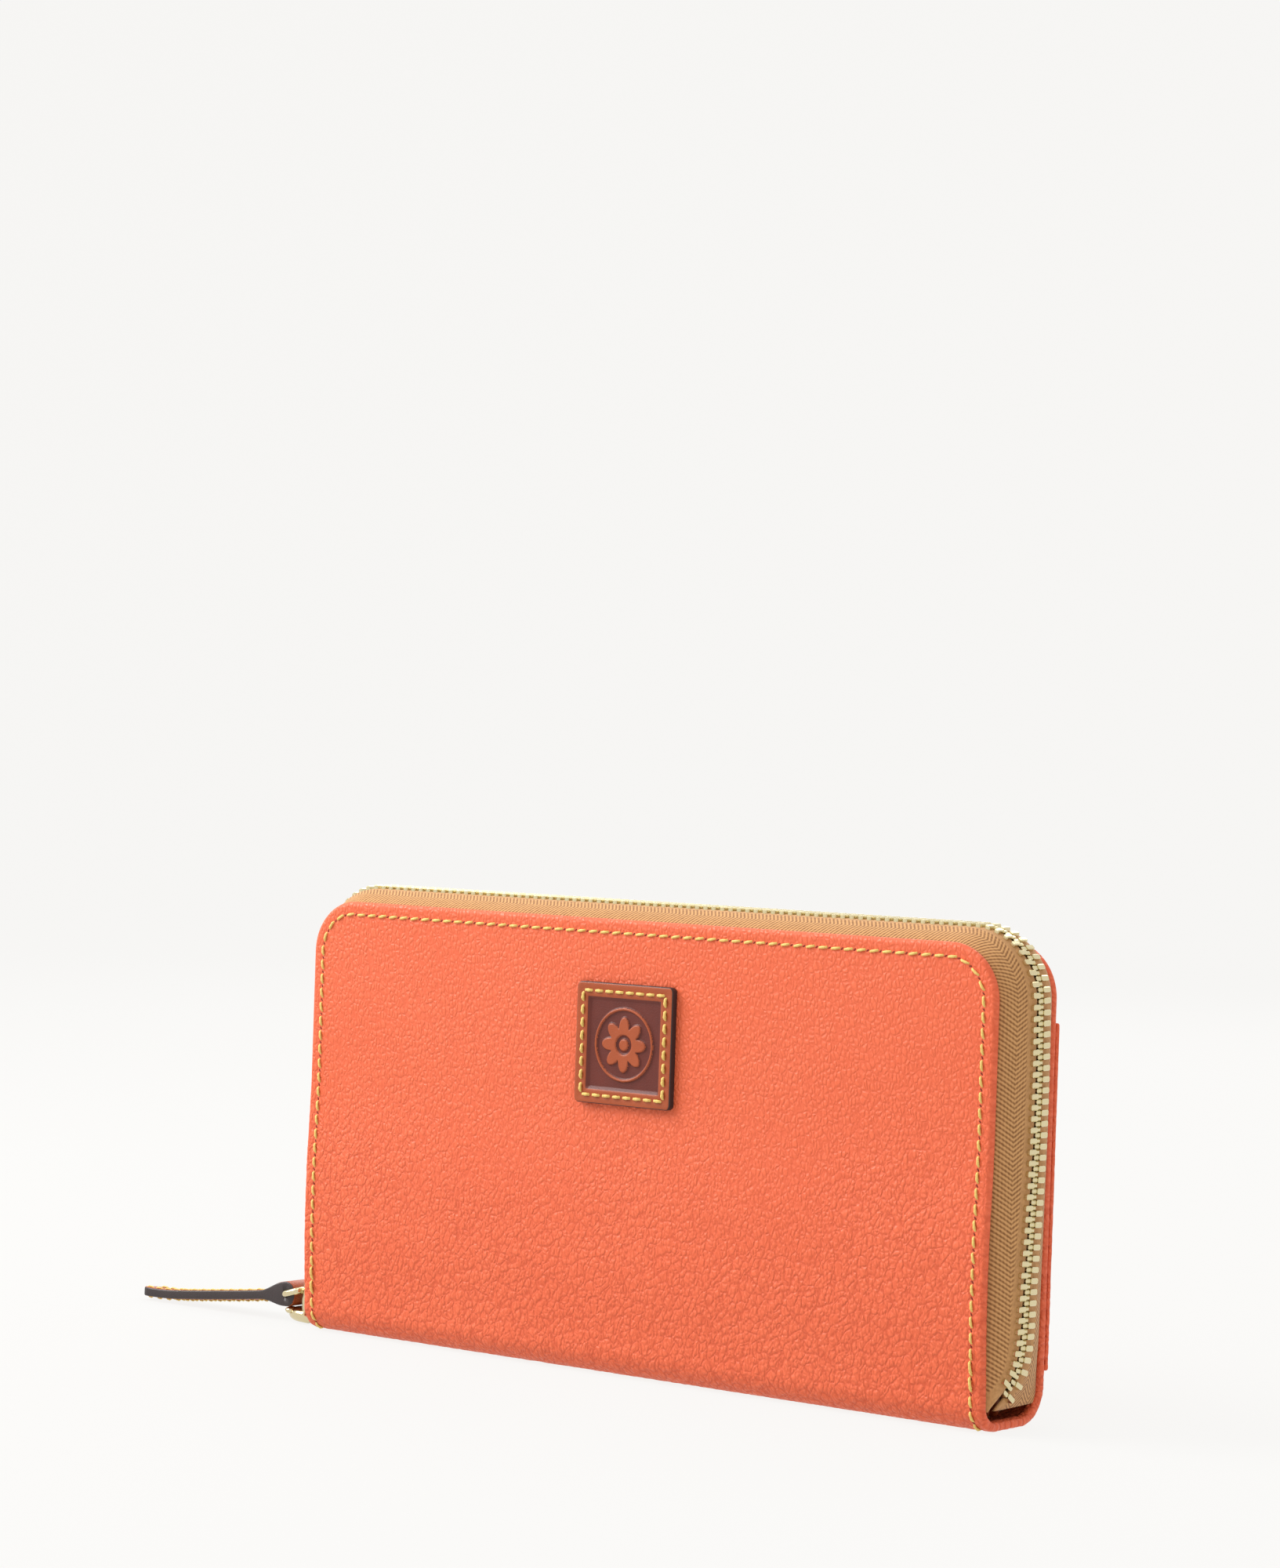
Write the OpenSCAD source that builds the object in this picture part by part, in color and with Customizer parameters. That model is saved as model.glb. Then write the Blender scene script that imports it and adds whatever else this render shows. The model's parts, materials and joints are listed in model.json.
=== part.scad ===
// Zip around long wallet, standing on its spine.
// X runs along the wallet, Y from the front cover (-Y) to the rear cover (+Y), Z up.
// The origin is on the spine's flat base, midway between the covers' outer faces.

/* [Covers] */
// Length of the covers
cover_l = 192; // [170:0.5:235]
// Height of the covers' top edge above the base
cover_h = 101.6; // [84:0.1:124]
// Depth over the two covers' outer leather faces
depth = 24; // [24:0.5:36]
// Radius of the covers' top corners
corner_r = 12; // [8:0.5:18]
// Thickness of the outer leather
leather_t = 1.2; // [0.8:0.1:1.5]
// Thickness of the stiffening board
board_t = 0.6; // [0.4:0.1:0.8]
// Thickness of the lining
lining_t = 0.4; // [0.3:0.1:0.6]
// How far boards and linings stop short of the covers' edge
edge_inset = 3; // [2:0.5:4]

/* [Spine] */
// Height of the crease where a cover hinges on the spine
crease_z = 9; // [9:0.5:14]
// Radius between the base and the front side of the spine
spine_front_r = 6; // [4:0.5:8]
// Radius between the base and the rear side of the spine
spine_rear_r = 8; // [4:0.5:8.5]
// Gap between a cover's lower edge and the spine
crease_gap = 0.3; // [0.2:0.1:0.6]

/* [Rear pocket] */
// Thickness of the slip pocket's panel
pocket_t = 1.1; // [0.8:0.1:1.5]
// Height of the pocket's lower edge
pocket_bottom = 11; // [10:0.5:20]
// Distance from the pocket's mouth up to the cover's top edge
pocket_drop = 17; // [14:0.5:30]

/* [Badge] */
// Side of the square leather badge
badge_side = 27; // [16:0.5:34]
// Thickness of the badge
badge_t = 1.6; // [1.2:0.1:2.5]
// Distance from the badge's centre up to the cover's top edge
badge_drop = 27.6; // [22:0.1:50]
// Sideways place of the badge's centre
badge_x = -0.8; // [-40:0.1:40]
// Radius of the badge's corners
badge_r = 1.2; // [0.5:0.1:3]
// Side of the pressed panel in the badge
badge_panel_side = 20.6; // [10:0.1:24]
// Depth of the pressed panel
badge_panel_d = 0.6; // [0.3:0.1:0.9]

/* [Card slots] */
// Length of the card block
card_l = 164; // [120:1:166]
// Thickness of one slot strip
strip_t = 0.5; // [0.4:0.05:0.6]
// Thickness of the backing behind the slots
backing_t = 0.6; // [0.4:0.1:0.8]
// Distance from the card block's top up to the cover's top edge
card_drop = 11.6; // [10:0.2:24]
// Step from one slot's mouth down to the next
card_step = 13; // [8:0.5:14]
// Height of the card block's lower edge
card_bottom = 12; // [11.5:0.5:18]

/* [Coin pocket] */
// Thickness of a coin pocket panel
panel_t = 1.1; // [0.8:0.1:1.3]
// Space between the two panels
panel_gap = 2.6; // [2:0.1:2.8]
// Distance from the panels' top edge up to the covers' top edge
panel_drop = 17.6; // [16:0.2:30]
// How far the panels stop short of the covers' ends
panel_inset = 5; // [4.5:0.5:8]
// Width of the coin zip's closed chain
coin_chain_w = 4; // [3.6:0.1:4.6]
// Pitch of the coin zip's teeth on one tape
coin_pitch = 2; // [1.8:0.1:3]
// Length of the coin zip's chain
coin_chain_l = 166; // [120:1:168]

/* [Gussets] */
// Thickness of a folded gusset
gusset_t = 0.7; // [0.5:0.1:0.9]
// How far a gusset folds in from its sewn edges
gusset_fold = 5.5; // [3:0.5:6]
// Height of the gussets' lower edge
gusset_bottom = 12; // [12:0.5:18]

/* [Main zip] */
// How far the tape bows out beyond the covers' edge
zip_bow = 2.8; // [2.4:0.1:3.2]
// Thickness of the tape
tape_t = 0.6; // [0.4:0.05:0.7]
// Width of the closed chain
chain_w = 6.4; // [6:0.1:7]
// Length of one tooth across the chain
tooth_l = 4; // [3.6:0.1:4]
// Thickness of the chain through the tape
chain_t = 2.2; // [1.8:0.1:2.4]
// Pitch of the teeth on one tape
tooth_pitch = 2.33; // [2.2:0.01:3.2]
// Height of the tapes' lower ends
tape_bottom = 6.5; // [6:0.5:8]
// How far the chain leans towards the front cover where it meets the slider
chain_lean = 2; // [0:0.25:4]

/* [Slider and pull] */
// Height of the closed slider's middle
slider_z = 8; // [7.2:0.1:12]
// Width of the slider
slider_w = 9.2; // [9:0.1:9.4]
// Length of the slider
slider_l = 12; // [10:0.5:13]
// Thickness of each slider plate
plate_t = 1.3; // [1:0.1:1.3]
// Diameter of the pull loop's wire
wire_d = 1.5; // [1.2:0.1:1.6]
// Outside width of the pull loop
loop_w = 11.4; // [10.5:0.1:14]
// Distance between the loop's two bars
loop_reach = 5; // [5:0.1:9]
// Angle at which the loop hangs below level
loop_droop = 16; // [0:1:20]
// Width of the leather tab
tab_w = 8; // [5:0.1:8]
// Thickness of the leather tab
tab_t = 2.1; // [1.6:0.1:2.4]
// Length of the leather tab from the loop's outer bar
tab_l = 49; // [25:1:60]
// Angle at which the tab slopes down to its tip
tab_droop = 5; // [0:0.5:5]
// Outside diameter of the tab's folded eye
eye_d = 5; // [4.4:0.1:5]

/* [Hidden] */

$fn = 48;

coral = [0.98, 0.44, 0.32];
russet = [0.64, 0.33, 0.18];
umber = [0.42, 0.18, 0.14];
tan_cloth = [0.74, 0.58, 0.38];
cream = [0.86, 0.76, 0.62];
grey_board = [0.55, 0.52, 0.48];
pale_gold = [0.86, 0.76, 0.52];

half_l = cover_l / 2;
half_depth = depth / 2;
cover_z0 = crease_z + crease_gap;
board_y = half_depth - leather_t;
lining_y = board_y - board_t;
backing_y = lining_y - lining_t;
strips_y = backing_y - backing_t;
panel_y = panel_gap / 2 + panel_t;
panel_h = cover_h - panel_drop;
panel_half_l = half_l - panel_inset;
spine_in = leather_t + lining_t;

// Chain of the main zip: a side run, a corner, the top run, a corner and a side run.
lean_z = cover_h - corner_r;
chain_r = corner_r + zip_bow;
teeth_z0 = slider_z + slider_l / 2 + 0.6;
side_run = lean_z - teeth_z0;
corner_run = PI / 2 * chain_r;
top_run = cover_l - 2 * corner_r;
chain_run = 2 * side_run + 2 * corner_run + top_run;
tooth_w = tooth_pitch / 2 - 0.15;
tape_flat_y = half_depth - 2.2;
function chain_y(z) = z > lean_z ? 0 : -chain_lean * (lean_z - z) / (lean_z - slider_z);

// Slider: two plates either side of the tape, and a bail over the outer one.
slot_t = chain_t + 0.4;
plate_x = -(half_l + zip_bow + slot_t / 2);
slider_y = chain_y(slider_z);
loop_x = plate_x - plate_t - wire_d / 2 - 0.2;
bar_x = loop_x - loop_reach * cos(loop_droop);
bar_z = slider_z - loop_reach * sin(loop_droop);
bail_w = 2.6;
bail_l = 3.4;
bail_t = 0.7;
nose_z0 = 0.3;
nose_h = 3.3;

// Coin zip: its chain lies flat along the top of the coin pocket.
coin_z = panel_h + 4.5;
coin_tooth_l = coin_chain_w / 2 + 0.4;
coin_tooth_w = coin_pitch / 2 - 0.15;
coin_slider_l = 9;
coin_slider_w = coin_chain_w + 1.6;
coin_slider_gap = 0.25;
coin_tape_t = 0.45;
coin_tape_sewn = 6;
coin_slider_x = -coin_chain_l / 2 + coin_slider_l / 2;
coin_slot_t = 2;
coin_plate_t = 0.7;
coin_pull_x = coin_slider_x + 1;
coin_pull_z = coin_z + coin_slot_t / 2 + coin_plate_t + 0.8;

// ---------- shared shapes ----------

// Upright sheet from y0 to y1 of a cover's outline, drawn in by the inset.
module cover_sheet(y0, y1, inset, z0) {
  r = corner_r - inset;
  w = cover_l - 2 * inset;
  top = cover_h - inset;
  translate([0, y1, 0]) rotate([90, 0, 0]) linear_extrude(y1 - y0) {
    translate([-w / 2, z0]) square([w, top - r - z0]);
    translate([-w / 2 + r, z0]) square([w - 2 * r, top - z0]);
    for (side = [-1, 1]) translate([side * (w / 2 - r), top - r]) circle(r);
  }
}

// Upright rectangle from y0 to y1.
module upright(y0, y1, w, z0, z1) {
  translate([-w / 2, y0, z0]) cube([w, y1 - y0, z1 - z0]);
}

// Square with round corners, centred.
module round_square(w, h, r) {
  square([w - 2 * r, h], center = true);
  square([w, h - 2 * r], center = true);
  for (x = [-1, 1], y = [-1, 1]) translate([x * (w / 2 - r), y * (h / 2 - r)]) circle(r);
}

// Same shape on the other side of the wallet's middle plane.
module to_rear() {
  mirror([0, 1, 0]) children();
}

// ---------- covers ----------

module cover_leather() {
  color(coral) cover_sheet(-half_depth, -board_y, 0, cover_z0);
}

module cover_board() {
  color(grey_board) cover_sheet(-board_y, -lining_y, edge_inset, cover_z0);
}

module cover_lining() {
  color(cream) cover_sheet(-lining_y, -backing_y, edge_inset, cover_z0);
}

module badge_patch() {
  color(russet) difference() {
    translate([badge_x, -half_depth, cover_h - badge_drop]) rotate([90, 0, 0])
      linear_extrude(badge_t) round_square(badge_side, badge_side, badge_r);
    translate([badge_x, -half_depth - badge_t + badge_panel_d, cover_h - badge_drop])
      rotate([90, 0, 0]) linear_extrude(badge_t)
        round_square(badge_panel_side, badge_panel_side, badge_r);
  }
}

// Dark pressed panel with a plain eight-petalled rosette.
module badge_emblem() {
  panel_y0 = -half_depth - badge_t + badge_panel_d;
  petal = badge_panel_side * 0.12;
  color(umber) translate([badge_x, panel_y0, cover_h - badge_drop]) rotate([90, 0, 0]) {
    linear_extrude(badge_panel_d / 3)
      round_square(badge_panel_side, badge_panel_side, badge_r);
    for (turn = [0:45:315]) rotate(turn) translate([badge_panel_side * 0.25, 0, 0])
      cylinder(r = petal, h = badge_panel_d * 0.8);
    cylinder(r = petal, h = badge_panel_d * 0.8);
  }
}

module rear_pocket() {
  color(coral)
    upright(half_depth, half_depth + pocket_t, cover_l, pocket_bottom, cover_h - pocket_drop);
}

// ---------- card slots ----------

module card_backing() {
  color(coral) upright(-backing_y, -strips_y, card_l + 1, card_bottom - 0.5,
                       cover_h - card_drop + 2);
}

// Slot strips lie on each other, each one lower than the last.
module card_slot(row) {
  y0 = -strips_y + (row - 1) * strip_t;
  color(coral) upright(y0, y0 + strip_t, card_l, card_bottom,
                       cover_h - card_drop - (row - 1) * card_step);
}

// ---------- spine and gussets ----------

// The U of the spine, seen along X and drawn in by the inset.
module spine_section(inset) {
  front_r = spine_front_r - inset;
  rear_r = spine_rear_r - inset;
  side = half_depth - inset;
  translate([-side, spine_front_r]) square([2 * side, crease_z - spine_front_r]);
  translate([-half_depth + spine_front_r, inset])
    square([2 * half_depth - spine_front_r - spine_rear_r, crease_z - inset]);
  translate([0, spine_rear_r]) square([side, crease_z - spine_rear_r]);
  translate([-half_depth + spine_front_r, spine_front_r]) circle(front_r);
  translate([half_depth - spine_rear_r, spine_rear_r]) circle(rear_r);
}

module spine_shell(inset, thickness, length) {
  translate([-length / 2, 0, 0]) rotate([90, 0, 90]) linear_extrude(length)
    difference() {
      intersection() {
        spine_section(inset);
        translate([-half_depth, 0]) square([depth, crease_z]);
      }
      spine_section(inset + thickness);
      translate([-half_depth + inset + thickness, crease_z - 0.5])
        square([depth - 2 * (inset + thickness), 1]);
    }
}

module spine_leather() {
  color(coral) spine_shell(0, leather_t, cover_l);
}

module spine_lining() {
  color(cream) spine_shell(leather_t, lining_t, cover_l - 2 * edge_inset);
}

// Folded V between a cover's lining and the coin pocket.
module gusset(side) {
  mid_y = -(backing_y + panel_y) / 2;
  end_x = panel_half_l - gusset_t * 1.5;
  color(russet) translate([0, 0, gusset_bottom]) scale([side, 1, 1])
    linear_extrude(panel_h - gusset_bottom)
      polygon([
        [end_x, -backing_y],
        [end_x + gusset_t * 1.4, -backing_y],
        [end_x + gusset_t * 1.4 - gusset_fold, mid_y],
        [end_x + gusset_t * 1.4, -panel_y],
        [end_x, -panel_y],
        [end_x - gusset_fold, mid_y]
      ]);
}

// ---------- main zip ----------

// Half of the tape's section: u is outwards from the cover's edge, v is along Y.
function tape_half(reach) = [
  [-edge_inset, -board_y],
  [0.4, -board_y],
  [zip_bow + tape_t / 2, -tape_flat_y],
  [zip_bow + tape_t / 2, reach],
  [zip_bow - tape_t / 2, reach],
  [zip_bow - tape_t / 2, -tape_flat_y + 0.2],
  [0.1, -board_y + tape_t],
  [-edge_inset, -board_y + tape_t]
];

// The section carried up one side, over the top and down the other side.
module zip_band(section) {
  for (side = [0, 1]) mirror([side, 0, 0]) {
    translate([half_l, 0, tape_bottom]) linear_extrude(lean_z - tape_bottom)
      polygon(section);
    translate([half_l - corner_r, 0, lean_z]) rotate([90, 0, 0])
      rotate_extrude(angle = 90, $fn = 96)
        polygon([for (p = section) [corner_r + p[0], -p[1]]]);
  }
  translate([half_l - corner_r, 0, cover_h]) rotate([0, -90, 0])
    linear_extrude(top_run) polygon(section);
}

// Everything in front of a line beside the chain, which leans down the sides.
module before_line(edge) {
  translate([-cover_l, 0, 0]) rotate([90, 0, 90]) linear_extrude(2 * cover_l)
    polygon([
      [-depth, 0],
      [chain_y(0) + edge, 0],
      [edge, lean_z],
      [edge, 2 * cover_h],
      [-depth, 2 * cover_h]
    ]);
}

// Space of the spine's ends, where the tapes have no sewn-in margin.
module spine_space() {
  translate([-half_l, -depth, 0]) cube([cover_l, 2 * depth, cover_z0]);
}

module front_zip_tape() {
  color(tan_cloth) difference() {
    intersection() {
      zip_band(tape_half(0));
      before_line(-chain_w / 2);
    }
    spine_space();
  }
}

module rear_zip_tape() {
  color(tan_cloth) difference() {
    zip_band([for (p = tape_half(chain_lean + 1)) [p[0], -p[1]]]);
    before_line(chain_w / 2);
    spine_space();
  }
}

// Puts children on the chain, s along it from the slider: -X is outwards, Z is along.
module on_chain(s) {
  past_corner = s - side_run - corner_run;
  if (s < side_run) {
    z = teeth_z0 + s;
    translate([-half_l - zip_bow, chain_y(z), z]) children();
  } else if (past_corner < 0) {
    translate([-half_l + corner_r, 0, lean_z]) rotate([0, 90 * (s - side_run) / corner_run, 0])
      translate([-chain_r, 0, 0]) children();
  } else if (past_corner < top_run) {
    translate([-half_l + corner_r + past_corner, 0, cover_h + zip_bow]) rotate([0, 90, 0])
      children();
  } else {
    mirror([1, 0, 0]) on_chain(chain_run - s) children();
  }
}

// One tape's row of teeth; the two rows sit half a pitch apart.
module teeth_row(start, side) {
  y0 = side < 0 ? -chain_w / 2 : chain_w / 2 - tooth_l;
  color(pale_gold) for (s = [start:tooth_pitch:chain_run - tooth_pitch / 2]) on_chain(s)
    translate([-chain_t / 2, y0, -tooth_w / 2]) cube([chain_t, tooth_l, tooth_w]);
}

// ---------- slider and pull ----------

// One slider plate with a lip along each edge; the lips keep the teeth in.
module slider_plate() {
  lip_h = (slot_t - tape_t) / 2 - 0.35;
  rotate([0, 90, 0]) linear_extrude(plate_t) round_square(slider_l, slider_w, 1.6);
  for (side = [-1, 1]) translate([plate_t, side * (slider_w / 2 - 0.4), 0])
    translate([-0.1, -0.4, -slider_l / 2 + 1.6]) cube([lip_h + 0.1, 0.8, slider_l - 3.2]);
}

module zip_slider() {
  color(pale_gold) translate([plate_x, slider_y, slider_z]) {
    translate([-plate_t, 0, 0]) slider_plate();
    translate([slot_t, 0, 0]) mirror([1, 0, 0]) translate([-plate_t, 0, 0]) slider_plate();
    translate([-0.1, 0, -slider_l / 2 + 2.2]) rotate([0, 90, 0])
      cylinder(d = 2, h = slot_t + 0.2);
  }
  color(pale_gold) slider_nose();
}

// Round nose that stands out from the outer plate's lower end, below the tab.
module slider_nose() {
  translate([plate_x, slider_y, nose_z0]) linear_extrude(nose_h) intersection() {
    translate([-plate_t, 0]) circle(slider_w / 2);
    translate([-slider_w, -slider_w / 2]) square(slider_w);
  }
}

// Arch over the slider's outer plate, open for the loop's inner bar.
module slider_bail() {
  rise = wire_d + 0.4;
  color(pale_gold) translate([plate_x - plate_t, slider_y - bail_w / 2, slider_z])
    difference() {
      translate([-rise - bail_t, 0, -bail_l / 2]) cube([rise + bail_t, bail_w, bail_l]);
      translate([-rise, -1, -bail_l / 2 + 0.9]) cube([rise + 1, bail_w + 2, bail_l - 1.8]);
    }
}

// Bar along Y with round ends.
module wire_bar(length) {
  rotate([90, 0, 0]) cylinder(d = wire_d, h = length, center = true);
  for (side = [-1, 1]) translate([0, side * length / 2, 0]) sphere(d = wire_d);
}

module pull_loop() {
  bar_l = loop_w - wire_d;
  color(pale_gold) translate([loop_x, slider_y, slider_z]) rotate([0, -loop_droop, 0]) {
    wire_bar(bar_l);
    translate([-loop_reach, 0, 0]) wire_bar(bar_l);
    for (side = [-1, 1]) translate([-loop_reach, side * bar_l / 2, 0]) rotate([0, 90, 0])
      cylinder(d = wire_d, h = loop_reach);
  }
}

// Leather strip folded round the loop's outer bar and sewn to itself.
module pull_tab() {
  tab_r = tab_w * 0.3;
  color(russet) translate([bar_x, slider_y, bar_z]) rotate([0, -tab_droop, 0]) difference() {
    union() {
      rotate([90, 0, 0]) cylinder(d = eye_d, h = tab_w, center = true);
      translate([0, 0, -eye_d / 2 + 0.3]) linear_extrude(tab_t) {
        translate([-tab_l + tab_r, -tab_w / 2]) square([tab_l - tab_r, tab_w]);
        translate([-tab_l, -tab_w / 2 + tab_r]) square([tab_r * 2, tab_w - 2 * tab_r]);
        for (side = [-1, 1]) translate([-tab_l + tab_r, side * (tab_w / 2 - tab_r)])
          circle(tab_r);
      }
    }
    rotate([90, 0, 0]) cylinder(d = wire_d + 0.1, h = tab_w + 2, center = true);
  }
}

// ---------- coin pocket ----------

module coin_panel() {
  color(russet) upright(-panel_y, -panel_gap / 2, 2 * panel_half_l, spine_in, panel_h);
}

// Tape from inside the panel's top, outwards round the slider and back in to the chain.
module coin_tape() {
  inner = -panel_gap / 2;
  edge = -coin_chain_w / 2;
  t = coin_tape_t;
  out = -coin_slider_w / 2 - coin_slider_gap - t;
  color(tan_cloth) translate([-coin_chain_l / 2, 0, 0]) rotate([90, 0, 90])
    linear_extrude(coin_chain_l)
      polygon([
        [inner, panel_h - coin_tape_sewn],
        [inner, panel_h + 0.4],
        [out, panel_h + 1.6],
        [out, coin_z + t / 2],
        [edge, coin_z + t / 2],
        [edge, coin_z - t / 2],
        [out + t, coin_z - t / 2],
        [out + t, panel_h + 1.6 + t / 2],
        [inner + t, panel_h + 0.4 - t / 2],
        [inner + t, panel_h - coin_tape_sewn]
      ]);
}

module coin_teeth(start, side) {
  y0 = side < 0 ? -coin_chain_w / 2 : coin_chain_w / 2 - coin_tooth_l;
  first = coin_slider_x + coin_slider_l / 2 + 0.6 + start;
  color(pale_gold) for (x = [first:coin_pitch:coin_chain_l / 2 - 3])
    translate([x, y0, coin_z - 0.8]) cube([coin_tooth_w, coin_tooth_l, 1.6]);
}

// Metal stops crimped over the chain's far end.
module coin_zip_stops() {
  color(pale_gold) translate([coin_chain_l / 2 - 1.8, -1.7, coin_z - 0.8])
    cube([1.6, 3.4, 1.6]);
}

module coin_slider() {
  color(pale_gold) translate([coin_slider_x, 0, coin_z]) {
    for (z = [-coin_slot_t / 2 - coin_plate_t, coin_slot_t / 2]) translate([0, 0, z])
      linear_extrude(coin_plate_t) round_square(coin_slider_l, coin_slider_w, 1.4);
    translate([-coin_slider_l / 2 + 2, 0, 0])
      cylinder(d = 1.6, h = coin_slot_t + 0.2, center = true);
    translate([1, 0, coin_slot_t / 2 + coin_plate_t]) difference() {
      translate([-2, -1, 0]) cube([4, 2, 2.2]);
      translate([-1.1, -2, -1]) cube([2.2, 4, 2.5]);
    }
  }
}

// Flat metal pull, lying along the chain.
module coin_pull() {
  pull_w = 5;
  pull_l = 20;
  color(pale_gold) translate([coin_pull_x, 0, coin_pull_z]) {
    rotate([90, 0, 0]) cylinder(d = 1, h = pull_w, center = true);
    for (side = [-1, 1]) translate([0, side * (pull_w / 2 - 0.5) - 0.5, -0.4])
      cube([6, 1, 0.8]);
    translate([pull_l / 2 + 2.6, 0, -0.4]) linear_extrude(0.8)
      round_square(pull_l - 3, pull_w, 1.6);
  }
}

// ---------- assembly ----------

cover_leather();  // front_cover_leather
cover_board();  // front_cover_board
cover_lining();  // front_cover_lining
badge_patch();
badge_emblem();
card_backing();  // front_card_backing
card_slot(1);  // front_card_slot_1
card_slot(2);  // front_card_slot_2
card_slot(3);  // front_card_slot_3
card_slot(4);  // front_card_slot_4
front_zip_tape();
teeth_row(tooth_pitch / 2, -1);  // front_zip_teeth
to_rear() cover_leather();  // rear_cover_leather
to_rear() cover_board();  // rear_cover_board
to_rear() cover_lining();  // rear_cover_lining
rear_pocket();
to_rear() card_backing();  // rear_card_backing
to_rear() card_slot(1);  // rear_card_slot_1
to_rear() card_slot(2);  // rear_card_slot_2
to_rear() card_slot(3);  // rear_card_slot_3
to_rear() card_slot(4);  // rear_card_slot_4
rear_zip_tape();
teeth_row(tooth_pitch, 1);  // rear_zip_teeth
spine_leather();
spine_lining();
gusset(-1);  // gusset_front_left
gusset(1);  // gusset_front_right
to_rear() gusset(-1);  // gusset_rear_left
to_rear() gusset(1);  // gusset_rear_right
coin_panel();  // coin_front_panel
to_rear() coin_panel();  // coin_rear_panel
coin_tape();  // coin_front_tape
to_rear() coin_tape();  // coin_rear_tape
coin_teeth(0, -1);  // coin_front_teeth
coin_teeth(coin_pitch / 2, 1);  // coin_rear_teeth
coin_zip_stops();
coin_slider();
coin_pull();
zip_slider();
slider_bail();
pull_loop();
pull_tab();
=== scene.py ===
import json
import math

import bmesh
import bpy
import numpy as np
from mathutils import Matrix, Vector


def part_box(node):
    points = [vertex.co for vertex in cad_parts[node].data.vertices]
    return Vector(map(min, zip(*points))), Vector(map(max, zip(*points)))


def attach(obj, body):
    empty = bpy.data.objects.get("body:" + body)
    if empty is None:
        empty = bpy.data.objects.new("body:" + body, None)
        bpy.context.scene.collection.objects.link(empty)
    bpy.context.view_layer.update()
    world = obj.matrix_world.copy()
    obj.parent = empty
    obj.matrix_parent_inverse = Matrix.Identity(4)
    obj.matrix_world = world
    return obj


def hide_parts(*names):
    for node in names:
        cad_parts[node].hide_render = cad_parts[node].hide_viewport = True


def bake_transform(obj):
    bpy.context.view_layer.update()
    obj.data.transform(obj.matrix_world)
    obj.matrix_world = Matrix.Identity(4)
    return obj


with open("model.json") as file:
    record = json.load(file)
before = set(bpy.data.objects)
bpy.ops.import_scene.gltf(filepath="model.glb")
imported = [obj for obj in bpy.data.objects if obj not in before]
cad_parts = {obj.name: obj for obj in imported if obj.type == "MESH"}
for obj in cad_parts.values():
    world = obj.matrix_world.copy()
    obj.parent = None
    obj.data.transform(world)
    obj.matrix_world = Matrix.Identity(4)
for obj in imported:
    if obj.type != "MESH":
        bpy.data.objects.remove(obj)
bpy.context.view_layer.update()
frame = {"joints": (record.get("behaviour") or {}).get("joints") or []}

scene = bpy.context.scene

# ---------------------------------------------------------------- camera
# A long lens at table height, a little to the wallet's right, with a slight roll.
cam_azimuth = math.radians(38.34)
cam_elevation = math.radians(0.52)
cam_roll = math.radians(1.90)
cam_distance = 0.9151
cam_target = Vector((-0.0096, 0.0006, 0.1317))

ahead = Vector((-math.sin(cam_azimuth) * math.cos(cam_elevation),
                math.cos(cam_azimuth) * math.cos(cam_elevation),
                -math.sin(cam_elevation)))
level = Vector((math.cos(cam_azimuth), math.sin(cam_azimuth), 0))
upward = level.cross(ahead)
cam_x = level * math.cos(cam_roll) + upward * math.sin(cam_roll)
cam_y = upward * math.cos(cam_roll) - level * math.sin(cam_roll)
camera = bpy.data.objects.new("camera", bpy.data.cameras.new("camera"))
scene.collection.objects.link(camera)
camera.data.lens = 93.37
camera.data.sensor_width = 36
camera.matrix_world = Matrix.LocRotScale(
    cam_target - ahead * cam_distance,
    Matrix((cam_x, cam_y, -ahead)).transposed().to_quaternion(),
    None)
scene.camera = camera
scene.view_settings.view_transform = "Standard"


# ---------------------------------------------------------------- set and light
# A pale seamless bowl of paper with a flat floor, lit by large soft boxes.
def linear(code):
    """Linear colour of an sRGB hex code."""
    parts = [int(code[i:i + 2], 16) / 255 for i in (1, 3, 5)]
    return tuple(p / 12.92 if p <= 0.04045 else ((p + 0.055) / 1.055) ** 2.4 for p in parts) + (1.0,)


def add_node(tree, kind, inputs=None, **settings):
    """Adds a node, sets it, and gives each input a value or a link."""
    node = tree.nodes.new(kind)
    for key, value in settings.items():
        setattr(node, key, value)
    for key, value in (inputs or {}).items():
        if isinstance(value, bpy.types.NodeSocket):
            tree.links.new(value, node.inputs[key])
        else:
            node.inputs[key].default_value = value
    return node


def new_material(name, **settings):
    """A material with a Principled shader, whose sockets take the settings."""
    material = bpy.data.materials.new(name)
    material.use_nodes = True
    tree = material.node_tree
    tree.nodes.clear()
    shader = add_node(tree, "ShaderNodeBsdfPrincipled",
                      {key.replace("_", " "): value for key, value in settings.items()})
    add_node(tree, "ShaderNodeOutputMaterial", {"Surface": shader.outputs[0]})
    return material, tree, shader


def add_mesh(name, points, faces, materials=(), smooth=True):
    """A new object from points and faces, with its faces turned outwards."""
    mesh = bpy.data.meshes.new(name)
    mesh.from_pydata([tuple(p) for p in points], [], [tuple(f) for f in faces])
    work = bmesh.new()
    work.from_mesh(mesh)
    bmesh.ops.recalc_face_normals(work, faces=work.faces)
    work.to_mesh(mesh)
    work.free()
    mesh.polygons.foreach_set("use_smooth", [smooth] * len(mesh.polygons))
    for material in materials:
        mesh.materials.append(material)
    piece = bpy.data.objects.new(name, mesh)
    scene.collection.objects.link(piece)
    return piece


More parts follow.
